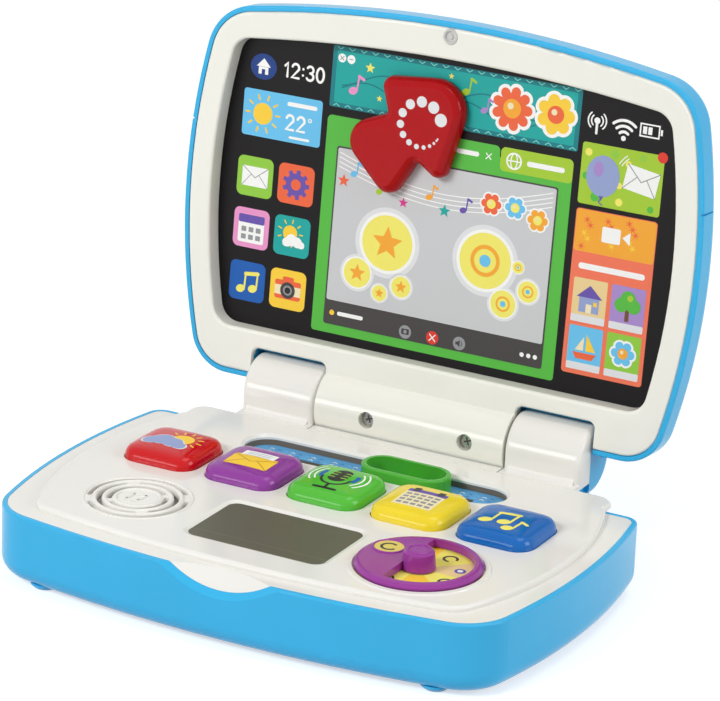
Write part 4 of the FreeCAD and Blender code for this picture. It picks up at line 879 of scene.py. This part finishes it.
def soft_buttons():
    square = [(x * BUTTON_HALF, y * BUTTON_HALF, BUTTON_CORNER)
              for x, y in ((-1, 1), (1, 1), (1, -1), (-1, -1))]
    insets = [d for d, _ in BUTTON_EDGE] + list(BUTTON_CROWN)
    for word, (x0, y0) in BUTTON_PLACES.items():
        loops = [[(x0 + x, y0 + y, PLATEAU + z) for x, y in rounded_loop(square, d, 8, 10)]
                 for d, z in BUTTON_FLANGE]
        for d in insets:
            loops.append([(x0 + x, y0 + y, PLATEAU + button_height(x, y))
                          for x, y in rounded_loop(square, d, 8, 10)])
        loft(word + "_button_cap", loops, on_deck, PAINTS[word + "_button"], word + "_key", word + "_button")


# soft cursor in place of the plainer solid
CURSOR_AT = lid_joint("cursor_turn")
CURSOR_LOW = SCREEN_FACE + 0.4
CURSOR_FACE = 6.8
# corners of the arrow about its pivot, clockwise, with the radius of each
ARROW = ((-24.6, 18.7, 5), (24.3, 23.7, 15), (11.4, -27.6, 5), (-2.2, -18.3, 2), (-15.2, -40, 7),
         (-47, -9.3, 11), (-19.2, 1.8, 2))
# inset and height from the foot to the top
CURSOR_FLANK = ((0.6, 0), (0, 0.8), (0, 3), (0.3, 4.7), (1, 6.1), (2.1, 7.2), (3.2, 7.85), (3.9, 8.3))


def soft_cursor():
    corners = [(CURSOR_AT[0] + x, CURSOR_AT[1] + y, r) for x, y, r in ARROW]
    loops = [[(x, y, CURSOR_LOW + z) for x, y in rounded_loop(corners, inset)] for inset, z in CURSOR_FLANK]
    loft("cursor_cap", loops, on_lid, PAINTS["cursor_knob"], "cursor", "cursor_knob")


# rolled edge of the bezel in the lid notches
NOTCH_LEFT, NOTCH_RIGHT, NOTCH_TOP = 49.6, 90.3, 21.5
NOTCH_CORNER = 4
LIP_LOW = 19.2
# how far the edge draws back, and its height out of the lid
LIP_SECTION = ((0.3, 3.2), (0, 3.5), (0, 5.5), (0.2, 6.2), (0.6, 6.7), (1.4, 6.97))
LIP_SIDE_OVERLAP, LIP_TOP_OVERLAP = 0.3, 0.4


def notch_lips():
    left, right = NOTCH_LEFT - LIP_SIDE_OVERLAP, NOTCH_RIGHT + LIP_SIDE_OVERLAP
    top = NOTCH_TOP + LIP_TOP_OVERLAP
    for side, word in ((-1, "left"), (1, "right")):
        loops = []
        for rise, z in LIP_SECTION:
            foot = LIP_LOW + rise - NOTCH_CORNER
            edge = arc(NOTCH_LEFT + NOTCH_CORNER, foot, NOTCH_CORNER, 180, 90, 8)
            edge += arc(NOTCH_RIGHT - NOTCH_CORNER, foot, NOTCH_CORNER, 90, 0, 8)
            edge += [(right, foot), (right, top), (left, top), (left, foot)]
            loops.append([(side * x, y, z) for x, y in edge])
        loft("notch_lip_" + word, loops, on_lid, lit_white_shell, "lid")


# prints on the buttons, drawn about the middle of each
PRINT_FORWARD = 1.2


def button_page(word, grow=1):
    x, y = BUTTON_PLACES[word]

    def place(px, py, pz):
        return on_deck(x + px, y + py, pz)
    page = Print(word + "_print", place, PLATEAU, button_height)
    page.forward, page.grow = PRINT_FORWARD, grow
    return page


def weather_print():
    page = button_page("weather")
    sun(page, 3.6, 3.4, 5.4, 9, 1, -60, 200)
    cloud(page, "pale", -2.6, -3.1, 17.2, 2)
    cloud(page, "bluegrey", -2.6, -3, 16, 3)
    page.build("weather_key")


def mail_print():
    page = button_page("mail")
    half, low = 11, -8.6
    flap = [(half, 3.4), (0, -3), (-half, 3.4)]
    page.add("yellow", panel(-half, low, half, 4.4, 0.8))
    page.add("white", panel(-8.4, -1, 8.4, 9.4, 0.4), 2)
    for i in range(4):
        page.add("cloud", panel(-6.2, 7.2 - 2 * i, 6.2, 8 - 2 * i), 3)
    page.add("yellow", [(-half, low), (half, low)] + flap, 4)
    for side in (-1, 1):
        page.stroke("brown", [(side * half, low + 0.2), (side * 3, -1.6)], 0.3, 5)
    page.stroke("brown", flap[::-1], 0.3, 5)
    page.build("mail_key")


def voice_print():
    page = button_page("voice", 1.16)
    page.add("black", panel(-3.8, -2.4, 3.8, 10.4, 3.7))
    for i in range(3):
        for left in (-3.8, 1.2):
            page.add("grass", panel(left, 1.2 + 2.6 * i, left + 2.6, 2 + 2.6 * i), 2)
    page.stroke("black", arc(0, 0.6, 6, 180, 360, 16), 1.1)
    page.stroke("black", [(0, -5.4), (0, -9.4)], 1.2)
    page.stroke("black", [(-4.6, -9.4), (4.6, -9.4)], 1.5)
    for start in (-38, 142):
        for r in (9.8, 12):
            page.stroke("white", arc(0, 3.4, r, start, start + 76, 10), 0.7)
        page.add("blue", band(0, 3.4, 6.6, 8.4, start + 12, start + 64, 8))
    page.build("voice_key")


def calendar_print():
    page = button_page("calendar")
    half = 9.6
    page.add("cream", panel(-half, -9.4, half, 8, 0.5))
    page.add("violet", panel(-half, 6.4, half, 10, 0.4), 2)
    for x in (-6, 6):
        page.add("slate", panel(x - 1.6, 7.4, x + 1.6, 12, 0.7), 3)
    for i in range(5):
        for j in range(4):
            left, low = -8.3 + 3.5 * i, -8 + 3.5 * j
            page.add("steel", panel(left, low, left + 2.6, low + 2), 2)
    page.build("calendar_key")


def music_print():
    page = button_page("music")
    note_pair(page, "lemon", -8, -4.6, 14, 1)
    note(page, "lemon", 4.6, -8.4, 11, 1)
    page.build("music_key")


# prints under the slider ring, under and on the dial, and on the display
def slider_print():
    page = Print("slider_waves", on_deck, top_of("slider_card"))
    first, pitch, crest = -62, 3.7, 0.7
    for i in range(34):
        x = first + pitch * i
        for y in (-41.4, -44.6, -51.2, -54.4):
            page.stroke(("sky", "white", "blue")[i % 3], [(x, y), (x + 1, y + crest), (x + 2, y)], 0.5)
    page.build("base")


def dial_print():
    page = Print("dial_picture", on_deck, top_of("dial_card"))
    share = 45
    for i in range(8):
        tone = ("tan", "lemon", "yellow", "lemon")[i % 4]
        page.add(tone, band(*DIAL, 8, 27, share * i, share * i + share, 10))
    for i in range(8):
        a = math.radians(share * i + 22)
        x, y = DIAL[0] + 18 * math.cos(a), DIAL[1] + 18 * math.sin(a)
        if i % 2:
            page.stroke("slate", arc(x, y, 3, 0, 270, 14), 1.2, 2)
        else:
            page.add("violet", disc(x, y, 2.6, 20), 2)
            page.add("white", disc(x, y, 1.3, 16), 3)
    page.build("base")


def dial_spot():
    # the round label in the dial and the lip round it
    x, y = DIAL[0] - 17.4, DIAL[1] + 5.4
    label = disc(x, y, 6.7, 48)
    raised_shapes("dial_spot_label", [label], on_deck, DIAL_FACE - 0.6, 0.9, PAINTS["dial_card"], "dial")
    lathe_ring("dial_spot_lip", x, y, DIAL_FACE + 0.15, ridge(7.1, 1.2, 0.6), PAINTS["dial_wheel"], "dial")
    page = Print("dial_spot_print", on_deck, DIAL_FACE + 0.3)
    page.stroke("slate", arc(x, y, 3.4, 60, 330, 20), 1.3)
    page.build("dial")


def display_print():
    page = Print("display_line", on_deck, top_of("display_window"))
    half, low, thick = 33.2, -153.6, 0.4
    page.add("olive", panel(-half, low, half, low + thick))
    page.build("base")


# white dots on the cursor, smaller and closer from the first to the last
DOT_COUNT = 14
DOT_CIRCLE = 10.6
DOT_FIRST, DOT_TURN = 20, 310
DOT_SMALL, DOT_GROWTH = 0.45, 2.65
DOT_CLOSING, DOT_SHRINKING = 1.6, 1.25


def cursor_print():
    page = Print("cursor_dots", on_lid, CURSOR_FACE)
    for i in range(DOT_COUNT):
        left = 1 - i / (DOT_COUNT - 1)
        a = math.radians(DOT_FIRST + DOT_TURN * (1 - left ** DOT_CLOSING))
        x, y = CURSOR_AT[0] + DOT_CIRCLE * math.cos(a), CURSOR_AT[1] + DOT_CIRCLE * math.sin(a)
        page.add("pale", disc(x, y, DOT_SMALL + DOT_GROWTH * left ** DOT_SHRINKING, 28))
    page.build("cursor")


# painted shade: dark slate crosses on the heads of the barrel screws, standing for their shaded cross
# recesses
SCREW_PLACES = ((-21.8, -0.8), (29.8, -0.8))
SCREW_HEAD = 12.7
SLOT_HALF_LENGTH, SLOT_HALF_WIDTH = 2, 0.4


def screw_cross_shade():
    page = Print("barrel_screw_cross_shade", on_lid, SCREW_HEAD)
    for x, y in SCREW_PLACES:
        slot = panel(x - SLOT_HALF_LENGTH, y - SLOT_HALF_WIDTH,
                     x + SLOT_HALF_LENGTH, y + SLOT_HALF_WIDTH, 0.3)
        for turn in (20, 110):
            page.add("slate", turned_about(slot, turn, (x, y)))
    page.build("lid")


screen_print()
soft_buttons()
soft_cursor()
notch_lips()
weather_print()
mail_print()
voice_print()
calendar_print()
music_print()
screw_cross_shade()
relief()
slider_print()
dial_print()
dial_spot()
display_print()
cursor_print()


# camera, solved from outlines in the photograph, in degrees, pixels and millimetres
CAMERA_TURN, CAMERA_RISE, CAMERA_ROLL = 27.717, 19.775, 2.212
CAMERA_AT = (748.9, -1491.6, 678.6)
FOCAL_PIXELS, PHOTO_PIXELS = 3809.31, 720
SENSOR = 36


def camera():
    az, el, roll = (math.radians(v) for v in (CAMERA_TURN, CAMERA_RISE, CAMERA_ROLL))
    back = Vector((math.sin(az) * math.cos(el), -math.cos(az) * math.cos(el), math.sin(el)))
    level = Vector((math.cos(az), math.sin(az), 0))
    above = back.cross(level)
    right = level * math.cos(roll) + above * math.sin(roll)
    up = -level * math.sin(roll) + above * math.cos(roll)
    lens = bpy.data.cameras.new("camera")
    lens.sensor_fit = "HORIZONTAL"
    lens.sensor_width = SENSOR
    lens.lens = FOCAL_PIXELS / PHOTO_PIXELS * SENSOR
    eye = bpy.data.objects.new("camera", lens)
    turn = Matrix((right, up, back)).transposed().to_4x4()
    eye.matrix_world = Matrix.Translation(on_deck(*CAMERA_AT)) @ turn
    bpy.context.scene.collection.objects.link(eye)
    bpy.context.scene.camera = eye


# light and floor, in metres and watts
SOFT_LIGHT = 0.3
FLOOR_SIZE, FLOOR_DROP = 12, 0.0003
FLOOR_GREY, FLOOR_ROUGH, FLOOR_GLOW = 0.7, 0.9, 0.58


def lamp(name, place, aim, size, power):
    data = bpy.data.lights.new(name, "AREA")
    data.shape = "RECTANGLE"
    data.size, data.size_y = size
    data.energy = power
    made = bpy.data.objects.new(name, data)
    made.location = place
    made.rotation_euler = (Vector(place) - Vector(aim)).to_track_quat("Z", "Y").to_euler()
    bpy.context.scene.collection.objects.link(made)
    return made


def white_for_camera(tree, lit, shown):
    # plain white to the eye and in reflections, a lit surface to everything else
    path = tree.nodes.new("ShaderNodeLightPath")
    seen = path.outputs["Is Camera Ray"]
    for ray in ("Is Glossy Ray", "Is Transmission Ray"):
        either = tree.nodes.new("ShaderNodeMath")
        either.operation = "MAXIMUM"
        tree.links.new(seen, either.inputs[0])
        tree.links.new(path.outputs[ray], either.inputs[1])
        seen = either.outputs[0]
    mixed = tree.nodes.new("ShaderNodeMixShader")
    tree.links.new(seen, mixed.inputs[0])
    tree.links.new(lit, mixed.inputs[1])
    tree.links.new(shown, mixed.inputs[2])
    return mixed.outputs[0]


def studio():
    world = bpy.data.worlds.new("studio")
    bpy.context.scene.world = world
    world.use_nodes = True
    tree = world.node_tree
    soft = tree.nodes["Background"]
    soft.inputs["Color"].default_value = (1, 1, 1, 1)
    soft.inputs["Strength"].default_value = SOFT_LIGHT
    shown = tree.nodes.new("ShaderNodeBackground")
    shown.inputs["Color"].default_value = (1, 1, 1, 1)
    out = white_for_camera(tree, soft.outputs[0], shown.outputs[0])
    tree.links.new(out, tree.nodes["World Output"].inputs["Surface"])
    # the key lights surfaces without a highlight of its own, and the strip gives highlights alone
    key = lamp("key", (-0.65, -1.4, 1.15), (0, 0, 0.1), (0.8, 0.5), 20.5)
    key.visible_glossy = False
    lamp("top", (0.35, 0.2, 1.55), (0, 0, 0.08), (1.1, 0.6), 5)
    lamp("side", (1.6, 0.15, 0.75), (0, 0, 0.1), (0.8, 0.8), 10)
    strip = lamp("strip", (-0.6, -1.7, 0.42), (0, 0, 0.05), (1.7, 0.4), 11)
    strip.visible_diffuse = False
    bpy.context.scene.view_settings.view_transform = "Standard"


def floor():
    bpy.ops.mesh.primitive_plane_add(size=FLOOR_SIZE, location=(0, 0, -FLOOR_DROP))
    ground = bpy.context.object
    ground.name = "floor"
    made = bpy.data.materials.new("floor_white")
    made.use_nodes = True
    tree = made.node_tree
    matt = tree.nodes["Principled BSDF"]
    matt.inputs["Base Color"].default_value = (FLOOR_GREY, FLOOR_GREY, FLOOR_GREY, 1)
    matt.inputs["Roughness"].default_value = FLOOR_ROUGH
    glow = tree.nodes.new("ShaderNodeEmission")
    glow.inputs["Strength"].default_value = FLOOR_GLOW
    both = tree.nodes.new("ShaderNodeAddShader")
    tree.links.new(matt.outputs[0], both.inputs[0])
    tree.links.new(glow.outputs[0], both.inputs[1])
    out = white_for_camera(tree, matt.outputs[0], both.outputs[0])
    tree.links.new(out, tree.nodes["Material Output"].inputs["Surface"])
    ground.data.materials.append(made)


camera()
studio()
floor()
